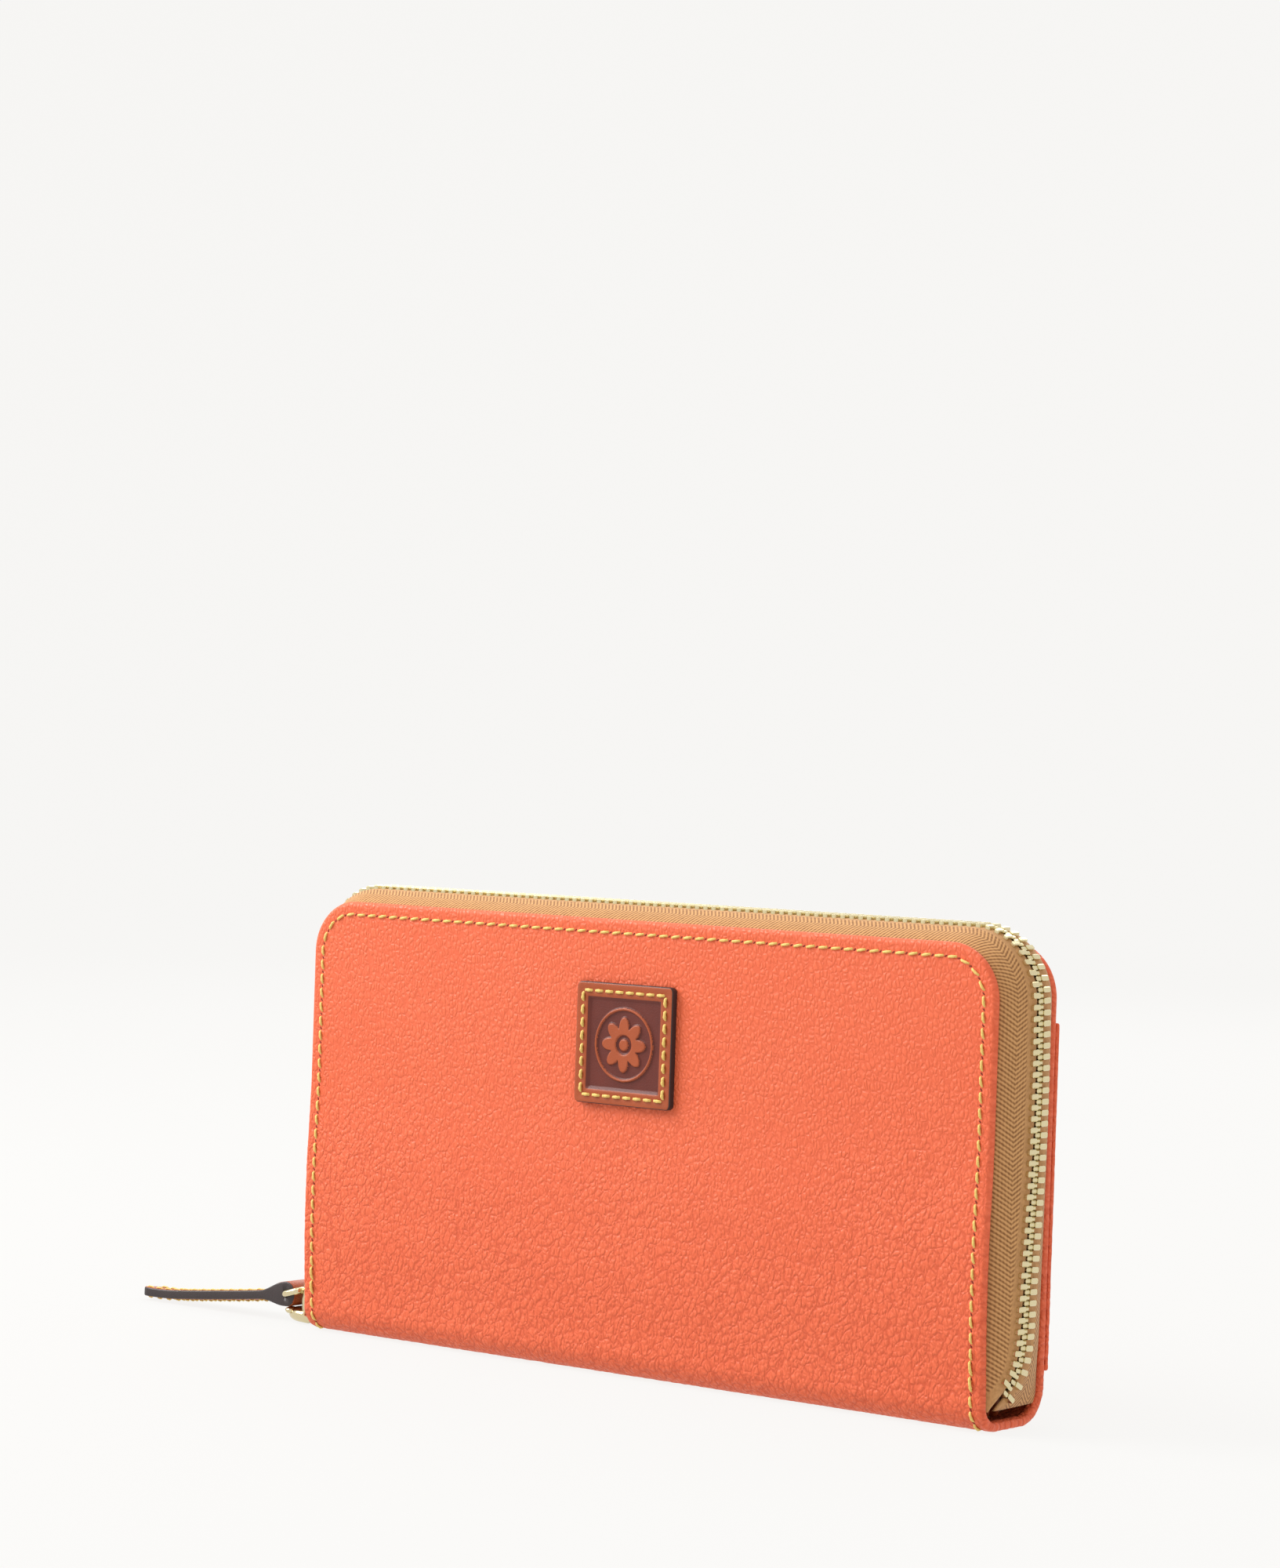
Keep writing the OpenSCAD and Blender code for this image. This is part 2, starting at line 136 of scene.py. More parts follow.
# The paper glows as a lit sweep does, and takes only a faint shadow.
paper, tree, shader = new_material("white_paper", Base_Color=(0.05, 0.05, 0.05, 1), Roughness=1.0,
                                   Specular_IOR_Level=0.0, Emission_Color=linear("#FAF9F7"),
                                   Emission_Strength=0.92)
bowl_r, sweep_r, turns = 2.6, 0.9, 64
bowl = [(0.0, 0.0), (1.0, 0.0), (bowl_r - sweep_r, 0.0)]
bowl += [(bowl_r - sweep_r + sweep_r * math.sin(a), sweep_r - sweep_r * math.cos(a))
         for a in np.radians(np.arange(10, 91, 10))]
bowl += [(bowl_r, 3.0)]
points = [(r * math.cos(math.tau * k / turns), r * math.sin(math.tau * k / turns), z - 0.0001)
          for r, z in bowl[1:] for k in range(turns)] + [(0, 0, -0.0001)]
faces = [(i * turns + k, i * turns + (k + 1) % turns, (i + 1) * turns + (k + 1) % turns, (i + 1) * turns + k)
         for i in range(len(bowl) - 2) for k in range(turns)]
faces += [(len(points) - 1, (k + 1) % turns, k) for k in range(turns)]
backdrop = add_mesh("backdrop", points, faces, [paper])

world = bpy.data.worlds.new("studio")
scene.world = world
world.use_nodes = True
world.node_tree.nodes["Background"].inputs["Color"].default_value = linear("#FAF9F7")
world.node_tree.nodes["Background"].inputs["Strength"].default_value = 0.9


def soft_box(name, azimuth, elevation, distance, size, power):
    """A square area light that faces the wallet's middle."""
    light = bpy.data.lights.new(name, "AREA")
    light.shape = "SQUARE"
    light.size = size
    light.energy = power
    lamp = bpy.data.objects.new(name, light)
    scene.collection.objects.link(lamp)
    a, e = math.radians(azimuth), math.radians(elevation)
    back = Vector((math.sin(a) * math.cos(e), -math.cos(a) * math.cos(e), math.sin(e)))
    lamp.matrix_world = Matrix.LocRotScale(
        Vector((0, 0, 0.05)) + back * distance, back.to_track_quat("Z", "Y"), None)


soft_box("key_light", -58, 36, 1.0, 0.6, 11.0)
soft_box("top_light", -10, 78, 1.2, 0.8, 3.0)
soft_box("rear_light", 205, 35, 1.4, 0.9, 6.0)

# ---------------------------------------------------------------- covers and spine
# One hide each for front and rear: calf leather drum-milled to a pebble, turned over a board at
# the three open edges, and carried round the bottom as the spine, where the two hides meet.
low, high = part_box("front_cover_leather")
half_l = high.x
cover_h = high.z
face_y = -low.y
crease_z = low.z
corner_r = 0.012
spine_radius = {-1: 0.006, 1: 0.008}
meet_y = -0.001
edge_t = 0.00212
board_back = 0.00178
spine_t = 0.0012
stitch_inset = 0.0030
grain_step = 0.0006
mm = 0.001


def smooth_step(value, start, end):
    t = np.clip((np.asarray(value, float) - start) / (end - start), 0, 1)
    return t * t * (3 - 2 * t)


def hide_length(side):
    """Lengths of a hide down its face, round the spine and along the base."""
    r = spine_radius[side]
    return cover_h - r, r * math.pi / 2, (face_y - r) - side * meet_y


def on_hide(x, s, depth, side):
    """Points a depth under a hide, s down from its top edge; side is -1 at the front."""
    r = spine_radius[side]
    face, bend, _ = hide_length(side)
    turn = np.clip((s - face) / r, 0, math.pi / 2)
    down = np.minimum(s, face)
    flat = np.maximum(s - face - bend, 0)
    z = cover_h - down - r * np.sin(turn)
    y = face_y - r + r * np.cos(turn) - flat
    belly = 0.0008 * smooth_step(z, 0.004, 0.026) * (1 - smooth_step(z, 0.036, 0.062)) * (side < 0)
    lift = belly - depth
    y = y + lift * np.cos(turn)
    z = z - lift * np.sin(turn)
    return np.stack([x, side * y, z], -1)


def edge_distance(x, s, half_w, r, length=None):
    """Distance in from a panel's outline, which has round top corners and may have round lower ones."""
    side = half_w - np.abs(x)
    ends = s if length is None else np.minimum(s, length - s)
    near = (side < r) & (ends < r)
    return np.where(near, r - np.hypot(r - side, r - ends), np.minimum(side, ends))


def roll(d, r):
    """How far a rounded edge of radius r drops at a distance d in from it."""
    inner = np.clip(r - d, 0, r)
    return r - np.sqrt(np.maximum(r * r - inner * inner, 0))


rim_steps = np.array([0, 0.06, 0.18, 0.36, 0.6, 0.9, 1.3, 1.8, 2.3, 2.8, 3.2, 3.8]) * mm


def panel_grid(half_w, length, r, step, low_rim=False):
    """Rows and columns over a panel, closer together at its edges: x and s of every point."""
    margin = rim_steps[-1]
    count = max(int((length - margin * (2 if low_rim else 1)) / step), 2)
    end = length - (margin if low_rim else 0)
    rows = np.concatenate([rim_steps, np.linspace(margin, end, count + 1)[1:]])
    if low_rim:
        rows = np.concatenate([rows, (length - rim_steps[::-1])[1:]])
    near = np.minimum(rows, length - rows) if low_rim else rows
    half = half_w - r + np.sqrt(np.maximum(r * r - np.maximum(r - near, 0) ** 2, 0))
    inner = np.linspace(-1, 1, max(int(2 * (half_w - margin) / step), 4) + 1)
    grid = [np.concatenate([-h + rim_steps[:-1], inner * (h - margin), h - rim_steps[::-1][1:]])
            for h in half]
    x = np.array(grid)
    return x, np.repeat(rows[:, None], x.shape[1], 1)


def panel_mesh(name, x, s, front, back, place, materials, coarse=8):
    """A closed panel: a fine front, a coarser back and a wall between them. Point attribute
    "hide" holds each point's place on the flat hide."""
    rows, cols = x.shape
    rim = len(rim_steps)
    picks = sorted(set(range(rim)) | set(range(rim, cols - rim, coarse)) | set(range(cols - rim, cols)))
    points = [place(x, s, front).reshape(-1, 3)]
    flat = [np.stack([x, s], -1).reshape(-1, 2)]
    index = []
    total = rows * cols
    behind = place(x, s, back)
    for i in range(rows):
        chosen = list(range(cols)) if i in (0, rows - 1) else picks
        points.append(behind[i, chosen])
        flat.append(np.stack([x[i, chosen], s[i, chosen]], -1))
        index.append({c: total + k for k, c in enumerate(chosen)})
        total += len(chosen)
    faces = [(i * cols + j, i * cols + j + 1, (i + 1) * cols + j + 1, (i + 1) * cols + j)
             for i in range(rows - 1) for j in range(cols - 1)]
    for i in range(rows - 1):
        for a, b in zip(picks, picks[1:]):
            upper = [index[i][c] for c in range(a, b + 1) if c in index[i]]
            lower = [index[i + 1][c] for c in range(b, a - 1, -1) if c in index[i + 1]]
            faces.append(upper + lower)
    for j in range(cols - 1):
        faces.append((j, j + 1, index[0][j + 1], index[0][j]))
        last = (rows - 1) * cols
        faces.append((last + j, last + j + 1, index[-1][j + 1], index[-1][j]))
    for i in range(rows - 1):
        for j in (0, cols - 1):
            faces.append((i * cols + j, (i + 1) * cols + j, index[i + 1][j], index[i][j]))
    piece = add_mesh(name, np.concatenate(points), faces, materials)
    flat = np.concatenate(flat)
    hide = piece.data.attributes.new("hide", "FLOAT_VECTOR", "POINT")
    hide.data.foreach_set("vector", np.column_stack([flat, np.zeros(len(flat))]).astype(np.float32).ravel())
    return piece


pebble_size = 1.25 * mm
fold_size = 2.3 * mm
fold_depth = 0.08 * mm


def milled_grain(tree, place):
    """Two heights from 0 to 1 at a place on the flat hide: small pebbles, and the larger folds
    that milling leaves towards the spine. The third is how much the folds show."""
    heights = []
    for size, lean, crease, warp in ((pebble_size, 0.4, 0.34, 1.0), (fold_size, -0.5, 0.20, 1.5)):
        turned = add_node(tree, "ShaderNodeVectorRotate",
                          {"Vector": place, "Axis": (0, 0, 1), "Angle": lean}, rotation_type="AXIS_ANGLE")
        drawn = add_node(tree, "ShaderNodeVectorMath", {0: turned.outputs[0], 1: (1.2, 0.8, 1.0)},
                         operation="MULTIPLY")
        noise = add_node(tree, "ShaderNodeTexNoise",
                         {"Vector": drawn.outputs[0], "Scale": 0.5 / size, "Detail": 2.0})
        moved = add_node(tree, "ShaderNodeVectorMath",
                         {0: noise.outputs[1], 1: (size * warp,) * 3, 2: drawn.outputs[0]},
                         operation="MULTIPLY_ADD")
        cells = add_node(tree, "ShaderNodeTexVoronoi", {"Vector": moved.outputs[0], "Scale": 1 / size},
                         feature="DISTANCE_TO_EDGE")
        domed = add_node(tree, "ShaderNodeMapRange", {"Value": cells.outputs["Distance"], "From Max": crease},
                         interpolation_type="SMOOTHSTEP")
        heights.append(domed.outputs[0])
    down = add_node(tree, "ShaderNodeSeparateXYZ", {0: place})
    patches = add_node(tree, "ShaderNodeTexNoise", {"Vector": place, "Scale": 28.0, "Detail": 1.0})
    spread = add_node(tree, "ShaderNodeMath", {0: patches.outputs[0], 1: 0.09, 2: down.outputs[1]},
                      operation="MULTIPLY_ADD")
    shown = add_node(tree, "ShaderNodeMapRange",
                     {"Value": spread.outputs[0], "From Min": 0.050, "From Max": 0.125})
    return heights[0], heights[1], shown.outputs[0]


# Drum-milled calf leather, dyed coral, with a semi-matt pigment finish: the pebbles' tops shine
# a little, and the creases between them are painted darker, as shade, and stay duller.
pebbled_calf, tree, shader = new_material("pebbled_calf_leather", Roughness=0.5, IOR=1.47)
place = add_node(tree, "ShaderNodeAttribute", attribute_name="hide").outputs["Vector"]
pebbles, folds, shown = milled_grain(tree, place)
pores = add_node(tree, "ShaderNodeTexNoise", {"Vector": place, "Scale": 2400.0, "Detail": 3.0})
fine = add_node(tree, "ShaderNodeMath", {0: pebbles, 1: 0.11 * mm}, operation="MULTIPLY")
fine = add_node(tree, "ShaderNodeMath", {0: pores.outputs[0], 1: 0.012 * mm, 2: fine.outputs[0]},
                operation="MULTIPLY_ADD")
folded = add_node(tree, "ShaderNodeMath", {0: folds, 1: shown}, operation="MULTIPLY")
height = add_node(tree, "ShaderNodeMath", {0: folded.outputs[0], 1: 0.085 * mm, 2: fine.outputs[0]},
                  operation="MULTIPLY_ADD")
bump = add_node(tree, "ShaderNodeBump", {"Height": height.outputs[0], "Strength": 1.0, "Distance": 1.0})
tone = add_node(tree, "ShaderNodeTexNoise", {"Vector": place, "Scale": 26.0, "Detail": 4.0})
patchy = add_node(tree, "ShaderNodeMix",
                  {0: tone.outputs[0], 6: linear("#D95B32"), 7: linear("#E46A42")}, data_type="RGBA")
# Painted shade: the creases between the pebbles, and lower down between the folds, are coloured darker
# (#B9441F).
pebble_crease_shade = add_node(tree, "ShaderNodeMapRange",
                   {"Value": pebbles, "From Max": 0.7, "To Min": 0.30, "To Max": 0.0})
crease_shade = add_node(tree, "ShaderNodeMapRange",
                  {"Value": folds, "From Max": 0.5, "To Min": 0.42, "To Max": 0.0})
crease_shade = add_node(tree, "ShaderNodeMath", {0: crease_shade.outputs[0], 1: shown, 2: pebble_crease_shade.outputs[0]},
                  operation="MULTIPLY_ADD")
colour = add_node(tree, "ShaderNodeMix",
                  {0: crease_shade.outputs[0], 6: patchy.outputs[2], 7: linear("#B9441F")}, data_type="RGBA")
rough = add_node(tree, "ShaderNodeMapRange", {"Value": pebbles, "To Min": 0.66, "To Max": 0.44})
tree.links.new(colour.outputs[2], shader.inputs["Base Color"])
tree.links.new(rough.outputs[0], shader.inputs["Roughness"])
tree.links.new(bump.outputs[0], shader.inputs["Normal"])


def press_grain(piece, depth):
    """Geometry Nodes: sinks the creases between the grain's folds into the piece's own surface."""
    tree = bpy.data.node_groups.new("press grain", "GeometryNodeTree")
    tree.interface.new_socket("Geometry", in_out="INPUT", socket_type="NodeSocketGeometry")
    deep = tree.interface.new_socket("Depth", in_out="INPUT", socket_type="NodeSocketFloat")
    tree.interface.new_socket("Geometry", in_out="OUTPUT", socket_type="NodeSocketGeometry")
    given = add_node(tree, "NodeGroupInput")
    spot = add_node(tree, "GeometryNodeInputNamedAttribute", {"Name": "hide"}, data_type="FLOAT_VECTOR")
    pebbles, folds, shown = milled_grain(tree, spot.outputs["Attribute"])
    level = add_node(tree, "ShaderNodeMath", {0: folds, 1: 1.0}, operation="SUBTRACT")
    sunk = add_node(tree, "ShaderNodeMath", {0: level.outputs[0], 1: shown}, operation="MULTIPLY")
    scaled = add_node(tree, "ShaderNodeMath", {0: sunk.outputs[0], 1: given.outputs["Depth"]},
                      operation="MULTIPLY")
    normal = add_node(tree, "GeometryNodeInputNormal")
    offset = add_node(tree, "ShaderNodeVectorMath",
                      {0: normal.outputs[0], "Scale": scaled.outputs[0]}, operation="SCALE")
    moved = add_node(tree, "GeometryNodeSetPosition",
                     {"Geometry": given.outputs["Geometry"], "Offset": offset.outputs[0]})
    add_node(tree, "NodeGroupOutput", {"Geometry": moved.outputs[0]})
    modifier = piece.modifiers.new("grain", "NODES")
    modifier.node_group = tree
    modifier[deep.identifier] = depth
    settle(piece)


def settle(piece):
    """Makes the evaluated shape the piece's own mesh and drops its modifiers."""
    view = bpy.context.evaluated_depsgraph_get()
    view.update()
    mesh = bpy.data.meshes.new_from_object(piece.evaluated_get(view))
    piece.modifiers.clear()
    old = piece.data
    piece.data = mesh
    bpy.data.meshes.remove(old)
    mesh.name = piece.name


def hide_piece(name, side):
    """Front or rear hide, from the top edge down its face and round to the spine's middle."""
    length = sum(hide_length(side))
    x, s = panel_grid(half_l, length, corner_r, grain_step)
    d = edge_distance(x, s, half_l, corner_r)
    groove = 0.00010 * np.exp(-((d - stitch_inset) / 0.0006) ** 2)
    front = roll(d, edge_t / 2 - 0.00002) + groove
    z = on_hide(x, s, 0 * x, side)[..., 2]
    thick = spine_t + (board_back - spine_t) * smooth_step(z, crease_z - 0.003, crease_z)
    thick = thick + (edge_t - thick) * (1 - smooth_step(d, 0.0024, 0.0029))
    back = thick - roll(d, edge_t / 2 - 0.00002)
    piece = panel_mesh(name, x, s, front, back, lambda a, b, c: on_hide(a, b, c, side), [pebbled_calf])
    press_grain(piece, fold_depth)
    return piece


front_hide = hide_piece("front_hide", -1)
rear_hide = hide_piece("rear_hide", 1)
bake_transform(front_hide)
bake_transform(rear_hide)
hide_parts("front_cover_leather", "front_cover_board", "spine_leather")
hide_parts("rear_cover_leather", "rear_cover_board")

# ---------------------------------------------------------------- cover stitching
# Bonded polyester thread in golden yellow, machine sewn 3 mm in from the edge. Each stitch is a
# short twisted length that dips into its needle holes, set a little askew as a machine leaves it.
stitch_pitch = 3.3 * mm
stitch_l = 2.7 * mm
thread_d = 0.62 * mm

# Filament polyester: a soft sheen along the twist.
yellow_thread, tree, shader = new_material("polyester_thread", Roughness=0.5, Specular_IOR_Level=0.4)
place = add_node(tree, "ShaderNodeTexCoord").outputs["Object"]
strands = add_node(tree, "ShaderNodeTexNoise", {"Vector": place, "Scale": 5200.0, "Detail": 1.0})
colour = add_node(tree, "ShaderNodeMix",
                  {0: strands.outputs[0], 6: linear("#C99C48"), 7: linear("#EDD67E")}, data_type="RGBA")
tree.links.new(colour.outputs[2], shader.inputs["Base Color"])

# Needle holes: a dark, dull oval paints the shade in each hole.
hole_shade, tree, shader = new_material("needle_hole_leather", Base_Color=linear("#7A2A14"), Roughness=0.9)


def stitch_mesh(name, length, thickness, material, rings=9, sides=8):
    """One stitch along X, its ends dipping down -Z, with two plies twisted round each other."""
    points = []
    for i in range(rings):
        t = i / (rings - 1) * 2 - 1
        lift = thickness * (0.42 - 0.95 * abs(t) ** 3)
        size = thickness / 2 * math.sqrt(max(1 - (abs(t) * 0.93) ** 4, 0.05))
        for k in range(sides):
            a = math.tau * k / sides
            ply = 1 + 0.14 * math.cos(2 * (a + t * 3.4))
            points.append((t * length / 2, size * ply * math.cos(a), lift + size * ply * math.sin(a)))
    faces = [(i * sides + k, i * sides + (k + 1) % sides,
              (i + 1) * sides + (k + 1) % sides, (i + 1) * sides + k)
             for i in range(rings - 1) for k in range(sides)]
    faces += [tuple(range(sides)), tuple(range(len(points) - sides, len(points)))]
    return add_mesh(name, points, faces, [material])


def hole_mesh(name, length, width, material):
    """A flat dark oval of painted shade that fills a needle hole."""
    points = [(length / 2 * math.cos(a), width / 2 * math.sin(a), 0)
              for a in np.arange(0, math.tau, math.tau / 10)]
    points += ([(p[0] * 0.6, p[1] * 0.6, 0.08 * mm) for p in points] +
               [(p[0], p[1], -0.2 * mm) for p in points])
    faces = [(k, (k + 1) % 10, 10 + (k + 1) % 10, 10 + k) for k in range(10)]
    faces += [(k, (k + 1) % 10, 20 + (k + 1) % 10, 20 + k) for k in range(10)]
    faces += [tuple(range(10, 20)), tuple(range(20, 30))]
    return add_mesh(name, points, faces, [material])


def row_tree():
    """Geometry Nodes: sets a copy of one piece on every point, turned to the point's own axes."""
    tree = bpy.data.node_groups.new("row of pieces", "GeometryNodeTree")
    sockets = {}
    for label, kind in (("Geometry", "Geometry"), ("Piece", "Object"), ("Slant", "Float"),
                        ("Unevenness", "Float"), ("Seed", "Int"), ("Material", "Material")):
        sockets[label] = tree.interface.new_socket(label, in_out="INPUT", socket_type="NodeSocket" + kind)
    tree.interface.new_socket("Geometry", in_out="OUTPUT", socket_type="NodeSocketGeometry")
    given = add_node(tree, "NodeGroupInput").outputs
    piece = add_node(tree, "GeometryNodeObjectInfo", {"Object": given["Piece"]})
    along = add_node(tree, "GeometryNodeInputNamedAttribute", {"Name": "along"}, data_type="FLOAT_VECTOR")
    out = add_node(tree, "GeometryNodeInputNamedAttribute", {"Name": "out"}, data_type="FLOAT_VECTOR")
    faced = add_node(tree, "FunctionNodeAlignRotationToVector",
                     {"Vector": out.outputs["Attribute"]}, axis="Z")
    aimed = add_node(tree, "FunctionNodeAlignRotationToVector",
                     {"Rotation": faced.outputs[0], "Vector": along.outputs["Attribute"]},
                      axis="X", pivot_axis="Z")
    chance = add_node(tree, "FunctionNodeRandomValue",
                      {2: -1.0, 3: 1.0, "Seed": given["Seed"]}, data_type="FLOAT")
    askew = add_node(tree, "ShaderNodeMath",
                     {0: chance.outputs[1], 1: given["Unevenness"], 2: given["Slant"]},
                      operation="MULTIPLY_ADD")
    spin = add_node(tree, "FunctionNodeAxisAngleToRotation", {"Axis": (0, 0, 1), "Angle": askew.outputs[0]})
    turned = add_node(tree, "FunctionNodeRotateRotation",
                      {0: aimed.outputs[0], 1: spin.outputs[0]}, rotation_space="LOCAL")
    copies = add_node(tree, "GeometryNodeInstanceOnPoints",
                      {"Points": given["Geometry"], "Instance": piece.outputs["Geometry"],
                       "Rotation": turned.outputs[0]})
    real = add_node(tree, "GeometryNodeRealizeInstances", {0: copies.outputs[0]})
    dressed = add_node(tree, "GeometryNodeSetMaterial",
                       {"Geometry": real.outputs[0], "Material": given["Material"]})
    add_node(tree, "NodeGroupOutput", {"Geometry": dressed.outputs[0]})
    return tree, {label: socket.identifier for label, socket in sockets.items()}


row_nodes, row_inputs = row_tree()


def row_of(name, item, spots, material, slant=0.0, uneven=0.0, seed=1):
    """Copies of an item at spots, which are (point, along, out) rows; one plain mesh comes back."""
    points, along, out = (np.array(column, float) for column in zip(*spots))
    row = add_mesh(name, points, [], [material])
    for label, values in (("along", along), ("out", out)):
        field = row.data.attributes.new(label, "FLOAT_VECTOR", "POINT")
        field.data.foreach_set("vector", values.astype(np.float32).ravel())
    modifier = row.modifiers.new("row", "NODES")
    modifier.node_group = row_nodes
    modifier[row_inputs["Piece"]] = item
    modifier[row_inputs["Slant"]] = slant
    modifier[row_inputs["Unevenness"]] = uneven
    modifier[row_inputs["Seed"]] = seed
    modifier[row_inputs["Material"]] = material
    settle(row)
    return row


def discard(piece):
    mesh = piece.data
    bpy.data.objects.remove(piece)
    bpy.data.meshes.remove(mesh)


def edge_line(inset, low_s):
    """Length of the line sewn inside a hide's edge, and its (x, s) at a length along it."""
    r = corner_r - inset
    sides = low_s - corner_r
    arc = r * math.pi / 2
    top = 2 * (half_l - corner_r)
    total = 2 * (sides + arc) + top

    def spot(length):
        run = min(length, total - length)
        if run < sides:
            x, s = -half_l + inset, low_s - run
        elif run < sides + arc:
            a = (run - sides) / r
            x, s = -half_l + corner_r - r * math.cos(a), corner_r - r * math.sin(a)
        else:
            x, s = -half_l + corner_r + (run - sides - arc), inset
        return (x, s) if length <= total / 2 else (-x, s)

    return total, spot


def spots_on(line, lengths, surface):
    """Points, directions and outward normals along a line on a surface."""
    spots = []
    for length in lengths:
        here, after, before = line(length), line(length + 1e-4), line(length - 1e-4)
        point = surface(*here, 0.0)
        out = surface(*here, -1e-4) - point
        spots.append((point, surface(*after, 0.0) - surface(*before, 0.0), out / np.linalg.norm(out)))
    return spots


def hide_surface(side):
    return lambda x, s, depth: on_hide(np.float64(x), np.float64(s), depth + 0.0001, side)


stitch = stitch_mesh("stitch", stitch_l, thread_d, yellow_thread)
hole = hole_mesh("hole", 0.9 * mm, 0.42 * mm, hole_shade)
pocket_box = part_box("rear_pocket")
for side, cover in ((-1, "front_cover"), (1, "rear_cover")):
    face, bend, _ = hide_length(side)
    total, line = edge_line(stitch_inset, face + bend * 0.82)
    count = int(total / stitch_pitch)
    lengths = [(k + 0.5) * total / count for k in range(count)]
    # A back-tack doubles two stitches near the foot of each side row.
    tacks = [lengths[k] + stitch_pitch * 0.22 for k in (3, 4)]
    tacks += [total - length for length in tacks]
    surface = hide_surface(side)
    sewn_spots = spots_on(line, lengths, surface)
    sewn_spots += [(p + 0.0002 * o, a, o) for p, a, o in spots_on(line, tacks, surface)]
    hole_spots = spots_on(line, [k * total / count for k in range(1, count)], surface)
    if side == 1:
        # Beside the slip pocket the same rows are sewn on the pocket's own face.
        for spots in (sewn_spots, hole_spots):
            for k, (p, along, out) in enumerate(spots):
                if pocket_box[0].z + 0.0006 < p[2] < pocket_box[1].z - 0.0006:
                    spots[k] = (p + out * (pocket_box[1].y - pocket_box[0].y - 0.0001), along, out)
    sewn = row_of(f"{cover}_stitching", stitch, sewn_spots, yellow_thread,
                  slant=math.radians(9), uneven=math.radians(4), seed=3)
    holes = row_of(f"{cover}_needle_holes", hole, hole_spots, hole_shade,
                   slant=math.radians(40), uneven=math.radians(12), seed=5)
    for piece in (sewn, holes):
        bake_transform(piece)

# ---------------------------------------------------------------- rear pocket
# A slip pocket on the rear cover: one panel of the same leather with a turned mouth, sewn down at
# both ends and along its foot, where it stops just above the spine's bend.
def leaf(name, half_w, top, bottom, face, thick, side, material, faces_out=True, step=1.2 * mm,
         corner=1.0 * mm, seam=None):
    """An upright leather panel with rounded edges; the seam is a groove that far in from them."""
    length = top - bottom
    x, s = panel_grid(half_w, length, corner, step, low_rim=True)
    d = edge_distance(x, s, half_w, corner, length)
    front = roll(d, thick * 0.45)
    if seam:
        front = front + 0.1 * mm * np.exp(-((d - seam) / (0.5 * mm)) ** 2)
    turn = -side if faces_out else side
    return panel_mesh(name, x, s, front, thick - roll(d, thick * 0.45),
                      lambda a, b, c: np.stack([a, side * face + turn * c, top - b], -1),
                      [material], coarse=4)


pocket_low, pocket_high = pocket_box
pocket = leaf("slip_pocket", pocket_high.x, pocket_high.z, pocket_low.z, pocket_high.y,
              pocket_high.y - pocket_low.y, 1, pebbled_calf, step=0.7 * mm, corner=0.5 * mm)
flat = pocket.data.attributes["hide"]
values = np.zeros(len(pocket.data.vertices) * 3, np.float32)
flat.data.foreach_get("vector", values)
values[1::3] += cover_h - pocket_high.z
flat.data.foreach_set("vector", values)
press_grain(pocket, fold_depth)
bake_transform(pocket)
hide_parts("rear_pocket")

foot_count = int(2 * (pocket_high.x - stitch_inset) / stitch_pitch)
foot_pitch = 2 * (pocket_high.x - stitch_inset) / foot_count
foot_z = pocket_low.z + stitch_inset
foot_row = row_of("pocket_stitching", stitch,
                  [((-pocket_high.x + stitch_inset + (k + 0.5) * foot_pitch, pocket_high.y, foot_z),
                    (1, 0, 0), (0, 1, 0)) for k in range(foot_count)],
                  yellow_thread, slant=math.radians(9), uneven=math.radians(4), seed=9)
foot_holes = row_of("pocket_needle_holes", hole,
                    [((-pocket_high.x + stitch_inset + k * foot_pitch, pocket_high.y - 0.02 * mm, foot_z),
                      (1, 0, 0), (0, 1, 0)) for k in range(1, foot_count)],
                    hole_shade, slant=math.radians(40), uneven=math.radians(12), seed=10)
for piece in (foot_row, foot_holes):
    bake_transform(piece)
discard(hole)

# ---------------------------------------------------------------- zip tape
# Two woven polyester tapes, one sewn under each cover's edge; they bow outwards to the chain.
# Herringbone twill, with a plain ridge beside the teeth.
zip_bow = 0.0028
tape_t = 0.0006
tape_low = 0.0045
lean_z = cover_h - corner_r
slider_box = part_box("zip_slider")
slider_y = (slider_box[0].y + slider_box[1].y) / 2
slider_z = slider_box[1].z - 0.006
# Sideways place of the chain by height, down the right side; the foot turns in under the front cover.
right_z = np.array([3, 5, 7, 10, 14, 20, 30, 45, 60, 75, 90]) * mm
right_y = np.array([-9.4, -8.3, -6.2, -3.8, -2.4, -1.9, -1.5, -0.4, 0.4, 0.5, 0.0]) * mm
right_bow = np.array([-1.6, -0.6, 0.6, 1.7, 2.4, 2.8, 2.8, 2.8, 2.8, 2.8, 2.8]) * mm


def soft_curve(z, knots, values):
    """Values between knots, eased so that the line has no corner."""
    spread = np.linspace(-0.003, 0.003, 7)
    return np.mean([np.interp(z + k, knots, values) for k in spread], axis=0)


